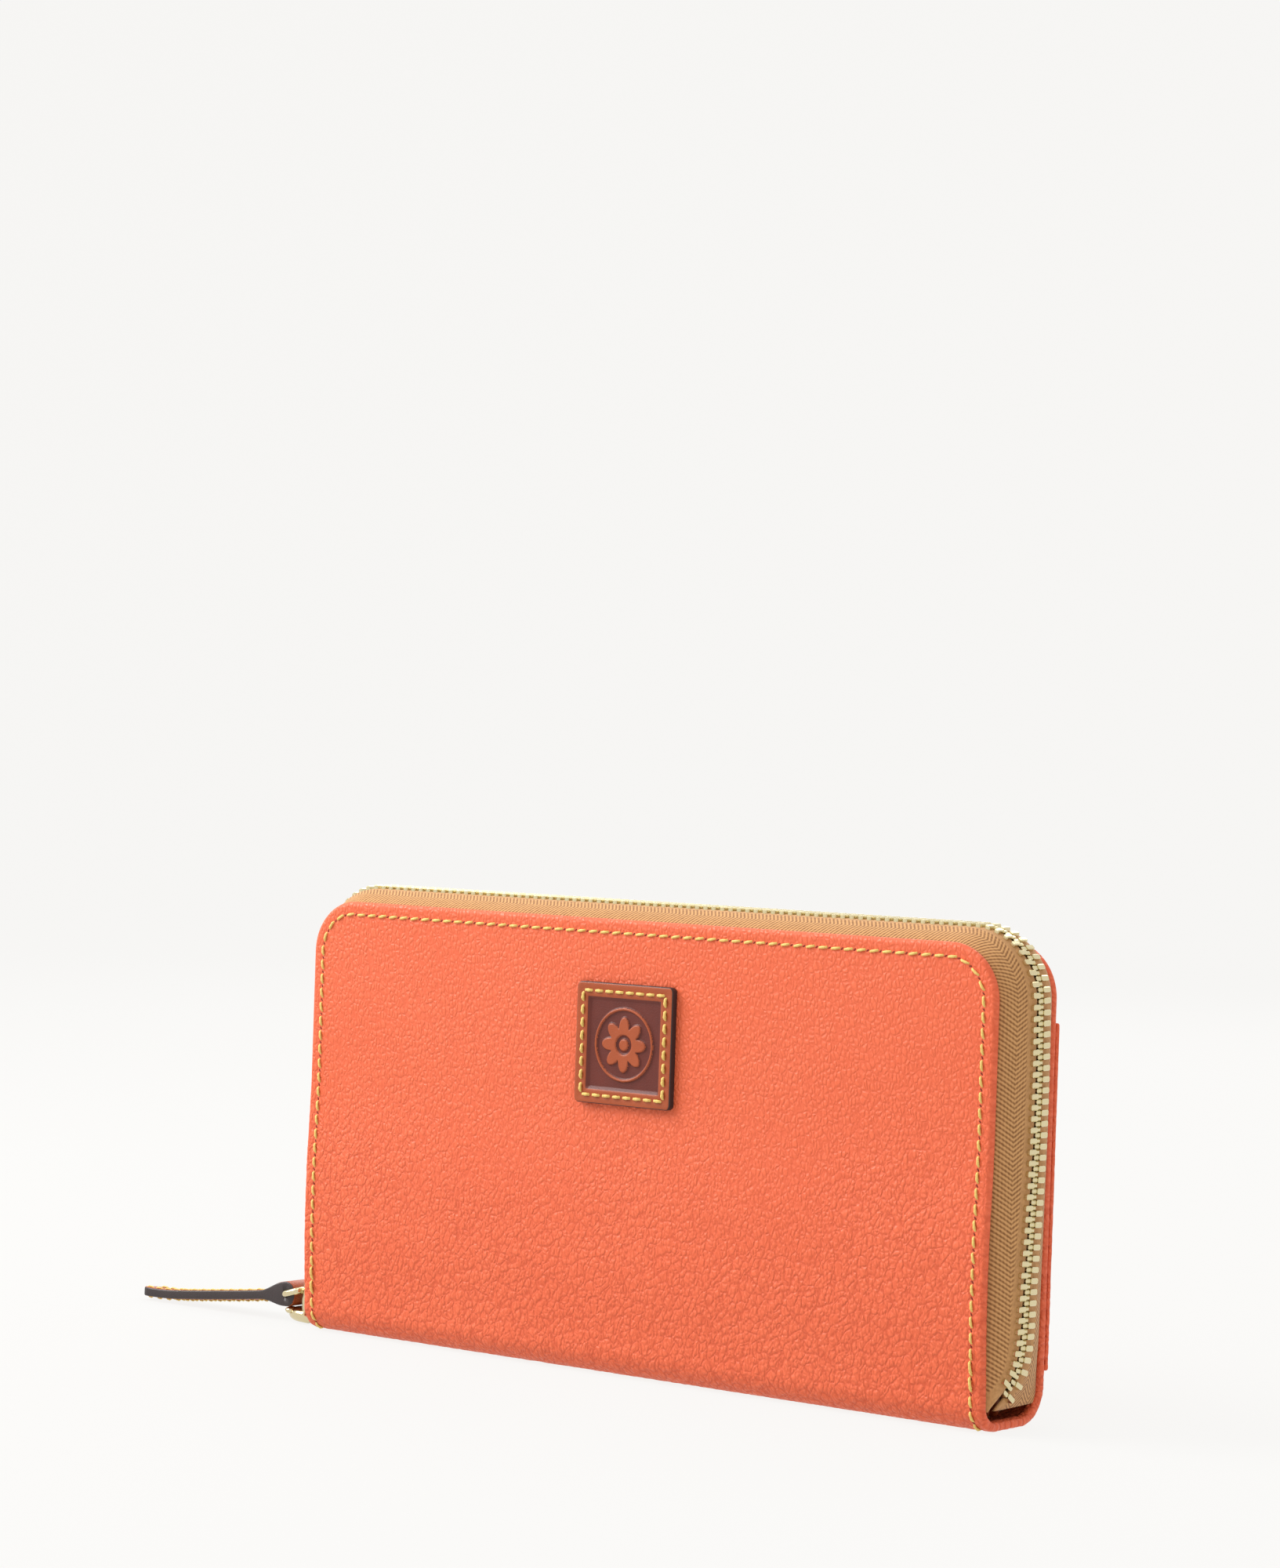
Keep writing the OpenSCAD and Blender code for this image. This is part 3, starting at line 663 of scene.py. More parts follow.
def chain_line(length):
    """Point on the covers' outline, outward direction, sideways place and bow at a length
    along the zip, from the foot of the left side to the foot of the right."""
    run = chain_sides
    arc = (corner_r + zip_bow) * math.pi / 2
    top = 2 * (half_l - corner_r)
    if length < run:
        z = tape_low + length
        lean = slider_y * (lean_z - z) / (lean_z - slider_z)
        return Vector((-half_l, 0, z)), Vector((-1, 0, 0)), lean, zip_bow
    if length < run + arc:
        a = (length - run) / arc * math.pi / 2
        out = Vector((-math.cos(a), 0, math.sin(a)))
        return Vector((-half_l + corner_r, 0, lean_z)) + out * corner_r, out, 0.0, zip_bow
    if length < run + arc + top:
        return Vector((-half_l + corner_r + length - run - arc, 0, cover_h)), Vector((0, 0, 1)), 0.0, zip_bow
    if length < run + 2 * arc + top:
        a = (length - run - arc - top) / arc * math.pi / 2
        out = Vector((math.sin(a), 0, math.cos(a)))
        return Vector((half_l - corner_r, 0, lean_z)) + out * corner_r, out, 0.0, zip_bow
    z = lean_z - (length - run - 2 * arc - top)
    return (Vector((half_l, 0, z)), Vector((1, 0, 0)), float(soft_curve(z, right_z, right_y)),
            float(soft_curve(z, right_z, right_bow)))


chain_sides = lean_z - tape_low
chain_total = 2 * chain_sides + (corner_r + zip_bow) * math.pi + 2 * (half_l - corner_r)

# Woven polyester: two warp colours read as a herringbone, matt with a faint sheen.
# Its lines are drawn 1 mm apart, coarser than real threads, so that they show.
zip_cloth, tree, shader = new_material("woven_polyester_tape", Roughness=0.85, Sheen_Weight=0.1,
                                       Specular_IOR_Level=0.3)
where = add_node(tree, "ShaderNodeSeparateXYZ",
                 {0: add_node(tree, "ShaderNodeAttribute", attribute_name="weave").outputs["Vector"]})
column = add_node(tree, "ShaderNodeMath", {0: where.outputs[1], 1: 3.6 * mm}, operation="PINGPONG")
slope = add_node(tree, "ShaderNodeMath", {0: column.outputs[0], 1: -0.8, 2: where.outputs[0]},
                 operation="MULTIPLY_ADD")
twill = add_node(tree, "ShaderNodeMath",
                 {0: slope.outputs[0], 1: math.tau / (1.0 * mm)}, operation="MULTIPLY")
twill_wave = add_node(tree, "ShaderNodeMath", {0: twill.outputs[0]}, operation="SINE")
warp = add_node(tree, "ShaderNodeMath",
                {0: where.outputs[1], 1: math.tau / (0.6 * mm)}, operation="MULTIPLY")
warp_wave = add_node(tree, "ShaderNodeMath", {0: warp.outputs[0]}, operation="SINE")
weave = add_node(tree, "ShaderNodeMath", {0: warp_wave.outputs[0], 1: 0.25, 2: twill_wave.outputs[0]},
                 operation="MULTIPLY_ADD")
ridge = add_node(tree, "ShaderNodeMapRange",
                 {"Value": where.outputs[2], "From Min": 4.6 * mm, "From Max": 4.2 * mm})
plain = add_node(tree, "ShaderNodeMix",
                 {0: ridge.outputs[0], 2: weave.outputs[0], 3: 0.2}, data_type="FLOAT")
level_weave = add_node(tree, "ShaderNodeMapRange",
                       {"Value": plain.outputs[0], "From Min": -1.25, "From Max": 1.25})
fluff = add_node(tree, "ShaderNodeTexNoise",
                 {"Vector": add_node(tree, "ShaderNodeTexCoord").outputs["Object"],
                  "Scale": 1400.0, "Detail": 3.0})
mixed = add_node(tree, "ShaderNodeMath", {0: fluff.outputs[0], 1: 0.7, 2: level_weave.outputs[0]},
                 operation="MULTIPLY_ADD")
shade = add_node(tree, "ShaderNodeMapRange",
                 {"Value": mixed.outputs[0], "From Min": 0.38, "From Max": 1.18})
colour = add_node(tree, "ShaderNodeMix",
                  {0: shade.outputs[0], 6: linear("#805630"), 7: linear("#C79560")}, data_type="RGBA")
bump = add_node(tree, "ShaderNodeBump",
                {"Height": mixed.outputs[0], "Strength": 0.6, "Distance": 0.10 * mm})
tree.links.new(colour.outputs[2], shader.inputs["Base Color"])
tree.links.new(bump.outputs[0], shader.inputs["Normal"])


def strip_faces(rows, cols):
    """Faces of a closed strip whose points are a grid of rows and cols, outer layer first."""
    half = rows * cols
    faces = []
    for i in range(rows - 1):
        for j in range(cols - 1):
            a, b, c, d = i * cols + j, i * cols + j + 1, (i + 1) * cols + j + 1, (i + 1) * cols + j
            faces += [(a, b, c, d), (half + a, half + d, half + c, half + b)]
        for j in (0, cols - 1):
            a, b = i * cols + j, (i + 1) * cols + j
            faces.append((a, b, half + b, half + a))
    for i in (0, rows - 1):
        faces += [(i * cols + j, i * cols + j + 1, half + i * cols + j + 1, half + i * cols + j)
                  for j in range(cols - 1)]
    return faces


def cloth_strip(name, centres, normals, weave, thick):
    """A closed strip of cloth about a grid of centre points, with point attribute "weave"."""
    rows, cols = len(centres), len(centres[0])
    points = [p + n * thick / 2 for line, facing in zip(centres, normals) for p, n in zip(line, facing)]
    points += [p - n * thick / 2 for line, facing in zip(centres, normals) for p, n in zip(line, facing)]
    piece = add_mesh(name, points, strip_faces(rows, cols), [zip_cloth])
    field = piece.data.attributes.new("weave", "FLOAT_VECTOR", "POINT")
    flat = [w for line in weave for w in line]
    field.data.foreach_set("vector", np.array(flat + flat, np.float32).ravel())
    return piece


def tape_piece(name, side):
    """One tape, from under its cover's edge to the beads that the teeth grip."""
    centres, normals, weave = [], [], []
    for length in np.linspace(0, chain_total, 420):
        base, out, sideways, bow = chain_line(length)
        foot = side * (face_y - 0.00205)
        edge = sideways + side * 0.0012
        line, facts = [], []
        for q in np.linspace(0, 1, 17):
            y = foot + (edge - foot) * q
            rise = -0.0014 + (bow + 0.0014) * (1 - (1 - q) ** 2.3)
            from_edge = abs(edge - y) + 0.0012
            cord = 0.00016 * math.exp(-((from_edge - 0.0045) / 0.0005) ** 2)
            line.append(base + out * (rise + cord) + Vector((0, y, 0)))
            facts.append((length, abs(foot - y), from_edge))
        centres.append(line)
        normals.append([out] * len(line))
        weave.append(facts)
    return cloth_strip(name, centres, normals, weave, tape_t)


# The tapes' feet are sewn into the spine, so the lowest part stays with it as a cover opens.
for side, cover in ((-1, "front"), (1, "rear")):
    tape = tape_piece(f"{cover}_tape", side)
    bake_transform(tape)
    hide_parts(f"{cover}_zip_tape")

# ---------------------------------------------------------------- zip teeth
# Stamped brass teeth clamped over each tape's beaded edge: a block that grips the tape and a
# narrower head that locks between its neighbours on the other tape.
tooth_pitch = 2.33 * mm

# Plated brass, polished after stamping, so it gives small bright reflections.
pale_gold, tree, shader = new_material("pale_gold_plated_brass", Base_Color=linear("#DDD0A6"), Metallic=1.0,
                                       Roughness=0.24)
place = add_node(tree, "ShaderNodeTexCoord").outputs["Object"]
rub = add_node(tree, "ShaderNodeTexNoise", {"Vector": place, "Scale": 420.0, "Detail": 4.0})
rough = add_node(tree, "ShaderNodeMapRange", {"Value": rub.outputs[0], "To Min": 0.16, "To Max": 0.36})
tree.links.new(rough.outputs[0], shader.inputs["Roughness"])


def block(work, low_corner, high_corner):
    """Adds a box to a bmesh and gives back its corners."""
    size = Vector(high_corner) - Vector(low_corner)
    middle = (Vector(high_corner) + Vector(low_corner)) / 2
    made = bmesh.ops.create_cube(work, size=1.0, matrix=Matrix.LocRotScale(middle, None, size))
    return made["verts"]


def from_bmesh(name, work, material, smooth=True):
    mesh = bpy.data.meshes.new(name)
    bmesh.ops.recalc_face_normals(work, faces=work.faces)
    work.to_mesh(mesh)
    work.free()
    mesh.materials.append(material)
    mesh.polygons.foreach_set("use_smooth", [smooth] * len(mesh.polygons))
    piece = bpy.data.objects.new(name, mesh)
    scene.collection.objects.link(piece)
    return piece


def tooth_mesh(side):
    work = bmesh.new()
    for wide, tall, start, end in ((1.22, 2.2, -3.2, -0.72), (1.02, 1.5, -0.9, 0.85)):
        y = sorted((-side * start * mm, -side * end * mm))
        block(work, (-wide / 2 * mm, y[0], -tall / 2 * mm), (wide / 2 * mm, y[1], tall / 2 * mm))
    bmesh.ops.bevel(work, geom=work.edges[:], offset=0.24 * mm, segments=1, affect="EDGES")
    return from_bmesh("tooth", work, pale_gold, smooth=False)


def chain_spot(length):
    """Point in the chain's middle, direction along it and outward normal."""
    places = []
    for step in (0, 2e-4, -2e-4):
        base, out, sideways, bow = chain_line(min(max(length + step, 0), chain_total))
        places.append(base + out * bow + Vector((0, sideways, 0)))
    along = (places[1] - places[2]).normalized()
    return places[0], along, out


first = slider_box[1].z - tape_low + 0.0010
for side, cover, offset in ((-1, "front", 0.5), (1, "rear", 1.0)):
    tooth = tooth_mesh(side)
    count = int((chain_total - 0.0003 - first) / tooth_pitch - offset)
    spots = [chain_spot(first + (k + offset) * tooth_pitch) for k in range(count)]
    teeth = row_of(f"{cover}_teeth", tooth, spots, pale_gold, uneven=math.radians(1.5), seed=7 + side)
    discard(tooth)
    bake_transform(teeth)
    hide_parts(f"{cover}_zip_teeth")

# ---------------------------------------------------------------- badge
# A square of thick vegetable-tanned leather, glazed russet, with a dark painted edge. A hot die has
# pressed its middle flat and dark round a raised russet rosette of eight petals.
low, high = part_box("badge_patch")
badge_mid = (low + high) / 2
badge_half = (high.x - low.x) / 2
badge_t = high.y - low.y
badge_front = low.y
panel_half = 0.0103
panel_d = 0.0006
badge_corner = 0.0012


def rosette(x, z):
    """Height from 0 to 1 of the raised motif: petals round a small boss, inside a thin ring."""
    r = np.hypot(x, z)
    a = np.arctan2(z, x)
    reach = 6.4 * mm * (0.62 + 0.38 * np.abs(np.cos(4 * a)))
    petals = smooth_step(reach - r, 0, 0.5 * mm) * smooth_step(r, 1.9 * mm, 2.4 * mm)
    boss = smooth_step(1.5 * mm - r, 0, 0.4 * mm)
    ring = smooth_step(0.45 * mm - np.abs(r - 7.9 * mm), 0, 0.3 * mm)
    return np.maximum(np.maximum(petals, boss), ring)


def leather_finish(name, light, dark, cell, roughness, depth):
    """A smooth vegetable-tanned leather: fine pores, slow changes of tone."""
    material, tree, shader = new_material(name, Roughness=roughness, Specular_IOR_Level=0.35)
    place = add_node(tree, "ShaderNodeTexCoord").outputs["Object"]
    tone = add_node(tree, "ShaderNodeTexNoise",
                    {"Vector": place, "Scale": 160.0, "Detail": 5.0, "Roughness": 0.6})
    cells = add_node(tree, "ShaderNodeTexVoronoi",
                     {"Vector": place, "Scale": 1 / cell}, feature="DISTANCE_TO_EDGE")
    height = add_node(tree, "ShaderNodeMapRange", {"Value": cells.outputs["Distance"], "From Max": 0.25},
                      interpolation_type="SMOOTHSTEP")
    colour = add_node(tree, "ShaderNodeMix", {0: tone.outputs[0], 6: linear(dark), 7: linear(light)},
                      data_type="RGBA")
    bump = add_node(tree, "ShaderNodeBump",
                    {"Height": height.outputs[0], "Strength": 0.5, "Distance": depth})
    tree.links.new(colour.outputs[2], shader.inputs["Base Color"])
    tree.links.new(bump.outputs[0], shader.inputs["Normal"])
    return material


# Glazed russet face, burnished dark press, and acrylic edge paint.
russet_veg = leather_finish("vegetable_tanned_leather", "#A84F26", "#8C3D1A", 0.45 * mm, 0.42, 0.03 * mm)
pressed_veg = leather_finish("hot_pressed_leather", "#6A281A", "#4E1A12", 0.5 * mm, 0.42, 0.03 * mm)
edge_paint = leather_finish("acrylic_edge_paint", "#3C3232", "#2E2625", 0.8 * mm, 0.4, 0.02 * mm)

x, s = panel_grid(badge_half, 2 * badge_half, badge_corner, 0.16 * mm, low_rim=True)
d = edge_distance(x, s, badge_half, badge_corner, 2 * badge_half)
square_d = np.minimum(panel_half - np.abs(x), panel_half - np.abs(s - badge_half))
pressed = smooth_step(square_d, -0.1 * mm, 0.35 * mm)
channel = 0.12 * mm * np.exp(-((d - 1.75 * mm) / (0.5 * mm)) ** 2)
front = roll(d, 0.35 * mm) + channel + pressed * panel_d * (1 - 0.75 * rosette(x, badge_half - s))
back = badge_t + 0.0003 - roll(d, 0.1 * mm)
badge = panel_mesh("badge", x, s, front, back,
                   lambda a, b, c: np.stack([badge_mid.x + a, badge_front + c,
                                             badge_mid.z + badge_half - b], -1),
                   [russet_veg, pressed_veg, edge_paint], coarse=6)
for face in badge.data.polygons:
    px = abs(face.center.x - badge_mid.x)
    pz = abs(face.center.z - badge_mid.z)
    if abs(face.normal.y) < 0.75 and max(px, pz) > badge_half - 0.5 * mm:
        face.material_index = 2
    elif max(px, pz) < panel_half + 0.05 * mm and face.center.y < badge_front + 1.0 * mm:
        raised = rosette(face.center.x - badge_mid.x, face.center.z - badge_mid.z) > 0.5
        face.material_index = 0 if raised else 1
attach(badge, "front_cover")
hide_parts("badge_patch", "badge_emblem")

badge_stitch = stitch_mesh("badge_stitch", 2.5 * mm, 0.72 * mm, yellow_thread, rings=11)
sewn_half = badge_half - 1.9 * mm
per_side = 8
spots = []
for turn in range(4):
    c, sn = round(math.cos(turn * math.pi / 2)), round(math.sin(turn * math.pi / 2))
    for k in range(per_side):
        u = -sewn_half + (k + 0.5) * 2 * sewn_half / per_side
        px, pz = c * u + sn * sewn_half, sn * u - c * sewn_half
        at = (badge_mid.x + px, badge_front + 0.10 * mm, badge_mid.z + pz)
        spots.append((at, (c, 0, sn), (0, -1, 0)))
badge_sewing = row_of("badge_stitching", badge_stitch, spots, yellow_thread, uneven=math.radians(3), seed=11)
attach(badge_sewing, "front_cover")
discard(badge_stitch)

# ---------------------------------------------------------------- slider and bail
# Die-cast zip slider: two plates joined by a divider, lips that hold the teeth, and a rounded nose
# at the open end. A small arch, the bail, is riveted over the outer plate for the pull.
low, high = slider_box
inner_x = high.x
plate_t = 0.0013
slot_t = 0.0026
outer_x = inner_x - 2 * plate_t - slot_t
slider_w = high.y - low.y
nose_z0 = low.z
nose_h = 0.0033


def prism(work, outline, axis, start, end):
    """Adds a solid with a flat outline across an axis; the outline is (y, z), (x, z) or (x, y)."""
    place = {"X": lambda a, b, c: (c, a, b),
             "Y": lambda a, b, c: (a, c, b),
             "Z": lambda a, b, c: (a, b, c)}[axis]
    ends = [[work.verts.new(place(a, b, c)) for a, b in outline] for c in (start, end)]
    count = len(outline)
    work.faces.new(ends[0])
    work.faces.new(ends[1][::-1])
    for k in range(count):
        work.faces.new((ends[0][k], ends[1][k], ends[1][(k + 1) % count], ends[0][(k + 1) % count]))


def bevel_sharp(work, width, segments=2):
    """Rounds every edge that turns by more than 30 degrees."""
    bmesh.ops.recalc_face_normals(work, faces=work.faces)
    sharp = [e for e in work.edges if len(e.link_faces) == 2 and e.calc_face_angle() > math.radians(30)]
    bmesh.ops.bevel(work, geom=sharp, offset=width, segments=segments, affect="EDGES", clamp_overlap=True)


def rounded(middle, size, r, steps=6):
    """Outline of a rectangle with round corners."""
    outline = []
    for turn, (sx, sy) in enumerate(((1, 1), (-1, 1), (-1, -1), (1, -1))):
        for k in range(steps + 1):
            a = math.pi / 2 * (turn + k / steps)
            outline.append((middle[0] + sx * (size[0] / 2 - r) + r * math.cos(a),
                            middle[1] + sy * (size[1] / 2 - r) + r * math.sin(a)))
    return outline


def mirrored(half):
    return half + [(-a, b) for a, b in half[::-1]]


# Plated zinc, tumbled and polished: brighter and smoother than the teeth.
cast_gold, tree, shader = new_material("pale_gold_plated_zinc", Base_Color=linear("#D9CBA4"), Metallic=1.0)
place = add_node(tree, "ShaderNodeTexCoord").outputs["Object"]
rub = add_node(tree, "ShaderNodeTexNoise", {"Vector": place, "Scale": 260.0, "Detail": 4.0})
rough = add_node(tree, "ShaderNodeMapRange", {"Value": rub.outputs[0], "To Min": 0.10, "To Max": 0.24})
tree.links.new(rough.outputs[0], shader.inputs["Roughness"])

work = bmesh.new()
shape = mirrored([(3.3, 6.0), (3.9, 4.6), (4.2, 0.5), (4.6, -2.0), (4.5, -4.6), (3.2, -6.0)])
outline = [(slider_y + a * mm, slider_z + b * mm) for a, b in shape]
prism(work, outline, "X", outer_x, outer_x + plate_t)
prism(work, outline, "X", inner_x - plate_t, inner_x)
for side in (-1, 1):
    lip = sorted((slider_y + side * 3.75 * mm, slider_y + side * 4.35 * mm))
    for x0, x1 in ((outer_x + plate_t - 0.0001, outer_x + plate_t + 0.0006),
                   (inner_x - plate_t - 0.0006, inner_x - plate_t + 0.0001)):
        block(work, (x0, lip[0], slider_z - 0.004), (x1, lip[1], slider_z + 0.0042))
prism(work, rounded((slider_y, slider_z - 3.9 * mm), (1.8 * mm, 3.0 * mm), 0.85 * mm), "X",
      outer_x + plate_t - 0.0002, inner_x - plate_t + 0.0002)
bevel_sharp(work, 0.28 * mm)
slider = from_bmesh("cast_slider", work, cast_gold)

rim_r = nose_h / 2
nose_long = 1.5
back_x = outer_x + 0.8 * plate_t
rims = [(slider_w / 2 - rim_r + rim_r * math.cos(a), nose_z0 + rim_r + rim_r * math.sin(a))
        for a in np.radians(np.arange(-90, 91, 15))]
half_turn = np.radians(np.arange(90, 271, 9))
points = []
for r, z in rims:
    points.append((back_x, slider_y + r, z))
    points += [(outer_x + nose_long * r * math.cos(a), slider_y + r * math.sin(a), z) for a in half_turn]
    points.append((back_x, slider_y - r, z))
around = len(half_turn) + 2
faces = [(i * around + k, i * around + k + 1, (i + 1) * around + k + 1, (i + 1) * around + k)
         for i in range(len(rims) - 1) for k in range(around - 1)]
faces += [tuple(range(around)), tuple(range(len(points) - around, len(points)))]
faces.append(tuple(i * around for i in range(len(rims))) +
             tuple(i * around + around - 1 for i in reversed(range(len(rims)))))
nose = add_mesh("slider_nose", points, faces, [cast_gold])

rivet_at = (outer_x - 5.2 * mm, slider_y - 2.2 * mm, nose_z0 + 2.45 * mm)
rivet_r = (1.5 * mm, 1.7 * mm, 0.9 * mm)
turns = 16
levels = np.radians(np.arange(-72, 73, 18))
ball = [(math.cos(b) * math.cos(a), math.cos(b) * math.sin(a), math.sin(b))
        for b in levels for a in np.arange(turns) * math.tau / turns]
ball += [(0, 0, -1), (0, 0, 1)]
faces = [(i * turns + k, i * turns + (k + 1) % turns, (i + 1) * turns + (k + 1) % turns, (i + 1) * turns + k)
         for i in range(len(levels) - 1) for k in range(turns)]
for first_of, pole in ((0, len(ball) - 2), ((len(levels) - 1) * turns, len(ball) - 1)):
    faces += [(first_of + k, first_of + (k + 1) % turns, pole) for k in range(turns)]
rivet = add_mesh("nose_rivet", [[c + r * v for c, r, v in zip(rivet_at, rivet_r, spot)] for spot in ball],
                 faces, [cast_gold])

work = bmesh.new()
low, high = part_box("slider_bail")
foot_x = high.x + 0.0002
arch = [(foot_x, low.z), (foot_x, low.z + 0.8 * mm),
        (low.x + 0.75 * mm, low.z + 0.95 * mm), (low.x + 0.7 * mm, high.z - 0.95 * mm),
        (foot_x, high.z - 0.8 * mm), (foot_x, high.z),
        (low.x + 0.9 * mm, high.z - 0.05 * mm), (low.x + 0.2 * mm, high.z - 0.5 * mm),
        (low.x, high.z - 1.2 * mm), (low.x, low.z + 1.2 * mm),
        (low.x + 0.2 * mm, low.z + 0.5 * mm), (low.x + 0.9 * mm, low.z + 0.05 * mm)]
prism(work, arch, "Y", low.y, high.y)
bevel_sharp(work, 0.22 * mm)
bail = from_bmesh("cast_bail", work, cast_gold)
for piece in (slider, nose, rivet, bail):
    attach(piece, "zip_slider")
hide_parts("zip_slider")
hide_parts("slider_bail")

# ---------------------------------------------------------------- pull loop
# A rectangular ring of drawn wire with bent corners, through the bail and the tab's eye.
low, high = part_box("pull_loop")
wire_r = 0.78 * mm
joints = {joint["name"]: joint for joint in frame["joints"]}
hinge = Vector(joints["loop_swing"]["pos_m"])
bar = Vector(joints["tab_swing"]["pos_m"])
arm = (high.y - low.y) / 2 - 0.75 * mm
reach = bar - hinge
across = Vector((0, 1, 0))
corner_points = [hinge + reach * u + across * arm * v for u, v in ((1, 1), (0, 1), (0, -1), (1, -1))]


def bent_ring(corners, r, steps=5):
    """A closed path through corners, each cut back by r and rounded."""
    ring = []
    for k, corner in enumerate(corners):
        before = (corners[k - 1] - corner).normalized() * r
        after = (corners[(k + 1) % len(corners)] - corner).normalized() * r
        for i in range(steps + 1):
            t = i / steps
            ring.append(corner + before * (1 - t) ** 2 + after * t ** 2)
    return ring


def tube(name, path, r, material, sides=16):
    """A closed round wire along a path that lies in one plane."""
    count = len(path)
    flat = (path[count // 3] - path[0]).cross(path[2 * count // 3] - path[0]).normalized()
    points = []
    for k, here in enumerate(path):
        along = (path[(k + 1) % count] - path[k - 1]).normalized()
        out = along.cross(flat)
        points += [here + (out * math.cos(a) + flat * math.sin(a)) * r
                   for a in np.arange(sides) * math.tau / sides]
    faces = [(k * sides + i, k * sides + (i + 1) % sides,
              (k + 1) % count * sides + (i + 1) % sides, (k + 1) % count * sides + i)
             for k in range(count) for i in range(sides)]
    return add_mesh(name, points, faces, [material])


loop = tube("wire_loop", bent_ring(corner_points, 1.5 * mm), wire_r, cast_gold)
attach(loop, "pull_loop")
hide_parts("pull_loop")

# ---------------------------------------------------------------- leather tab
# A strap of russet leather folded round the ring's outer bar and sewn to itself, its cut edges
# painted dark. It slopes down from the eye and its tip curls up a little off the table.
low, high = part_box("pull_tab")
tab_l = bar.x - low.x
tab_half = (high.y - low.y) / 2
tab_y = (high.y + low.y) / 2
tab_t = 2.15 * mm
eye_r = 2.9 * mm
tip_r = 2.4 * mm
tab_tilt = math.tan(math.radians(6))
tilt_run = 0.012


def tab_middle(run):
    """Height of the strap's middle a run out from the ring's bar."""
    out = max(run, 0) * 1000
    return bar.z - (0.128 * out - 0.0004 * out ** 2) * mm + 0.9 * mm * (max(out - 36, 0) / 13) ** 2


def tab_half_t(run):
    if run < 0:
        return math.sqrt(max(eye_r ** 2 - run ** 2, 0)) + 0.0001
    return tab_t / 2 + (eye_r - tab_t / 2) * float(1 - smooth_step(run, 0.6 * mm, 8.5 * mm))


def tab_point(run, y, rise):
    """A point on the strap; its far edge hangs a little lower than the near one."""
    slope = (tab_middle(run + 1e-4) - tab_middle(run - 1e-4)) / 2e-4 if run > 0 else 0.0
    x = bar.x - run + rise * slope
    hang = tab_tilt * (y + tab_half) * min(max(run, 0) / tilt_run, 1)
    return Vector((x, tab_y + y, tab_middle(run) + rise - hang))


runs = [eye_r * math.cos(a) * -1 for a in np.linspace(0.12, math.pi / 2, 9)]
runs += list(np.linspace(0.0, tab_l - tip_r, 56)[1:])
runs += [tab_l - tip_r + tip_r * math.sin(a) for a in np.linspace(0.0, math.pi / 2 - 0.12, 9)[1:]]
edge_r = 0.4 * mm
corners = [(sy, sz, a) for sy, sz, start in ((1, 1, 0), (-1, 1, 90), (-1, -1, 180), (1, -1, 270))
           for a in np.radians([start, start + 30, start + 60, start + 90])]
points, faces = [], []
for run in runs:
    half = tab_half - tip_r + math.sqrt(max(tip_r ** 2 - max(run - tab_l + tip_r, 0) ** 2, 0))
    thick = tab_half_t(run)
    r = min(edge_r, thick * 0.9, half * 0.9)
    points += [tab_point(run, sy * (half - r) + r * math.cos(a), sz * (thick - r) + r * math.sin(a))
               for sy, sz, a in corners]
ring = len(corners)
faces = [(i * ring + k, i * ring + (k + 1) % ring, (i + 1) * ring + (k + 1) % ring, (i + 1) * ring + k)
         for i in range(len(runs) - 1) for k in range(ring)]
faces += [tuple(range(ring)), tuple(range(len(points) - ring, len(points)))]
tab = add_mesh("strap_tab", points, faces, [russet_veg, edge_paint])
work = bmesh.new()
spin = Matrix.Translation((bar.x, tab_y, bar.z)) @ Matrix.Rotation(math.pi / 2, 4, "X")
bmesh.ops.create_cone(work, cap_ends=True, segments=20, radius1=0.85 * mm, radius2=0.85 * mm,
                      depth=4 * tab_half, matrix=spin)
drill = from_bmesh("drill", work, edge_paint)
cut = tab.modifiers.new("eye", "BOOLEAN")
cut.operation = "DIFFERENCE"
cut.object = drill
settle(tab)
discard(drill)
for face in tab.data.polygons:
    out_tip = bar.x - face.center.x > tab_l - 0.8 * tip_r
    if abs(face.normal.y) > 0.55 or (out_tip and abs(face.normal.z) < 0.75):
        face.material_index = 1
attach(tab, "pull_tab")
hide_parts("pull_tab")

seam_y = tab_half - 1.5 * mm
tab_stitch = stitch_mesh("tab_stitch", 2.4 * mm, 0.45 * mm, yellow_thread)
spots = []
for rise, up in ((tab_t / 2, 1), (-tab_t / 2, -1)):
    for y in (-seam_y, seam_y):
        for run in np.arange(0.0095, tab_l - 0.002, 3.1 * mm):
            ahead_point, behind_point = tab_point(run + 1e-4, y, rise), tab_point(run - 1e-4, y, rise)
            spots.append((tab_point(run, y, rise), ahead_point - behind_point, (0.1 * up, 0, up)))
tab_sewing = row_of("tab_stitching", tab_stitch, spots, yellow_thread,
                    slant=math.radians(9), uneven=math.radians(3), seed=15)
discard(tab_stitch)
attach(tab_sewing, "pull_tab")

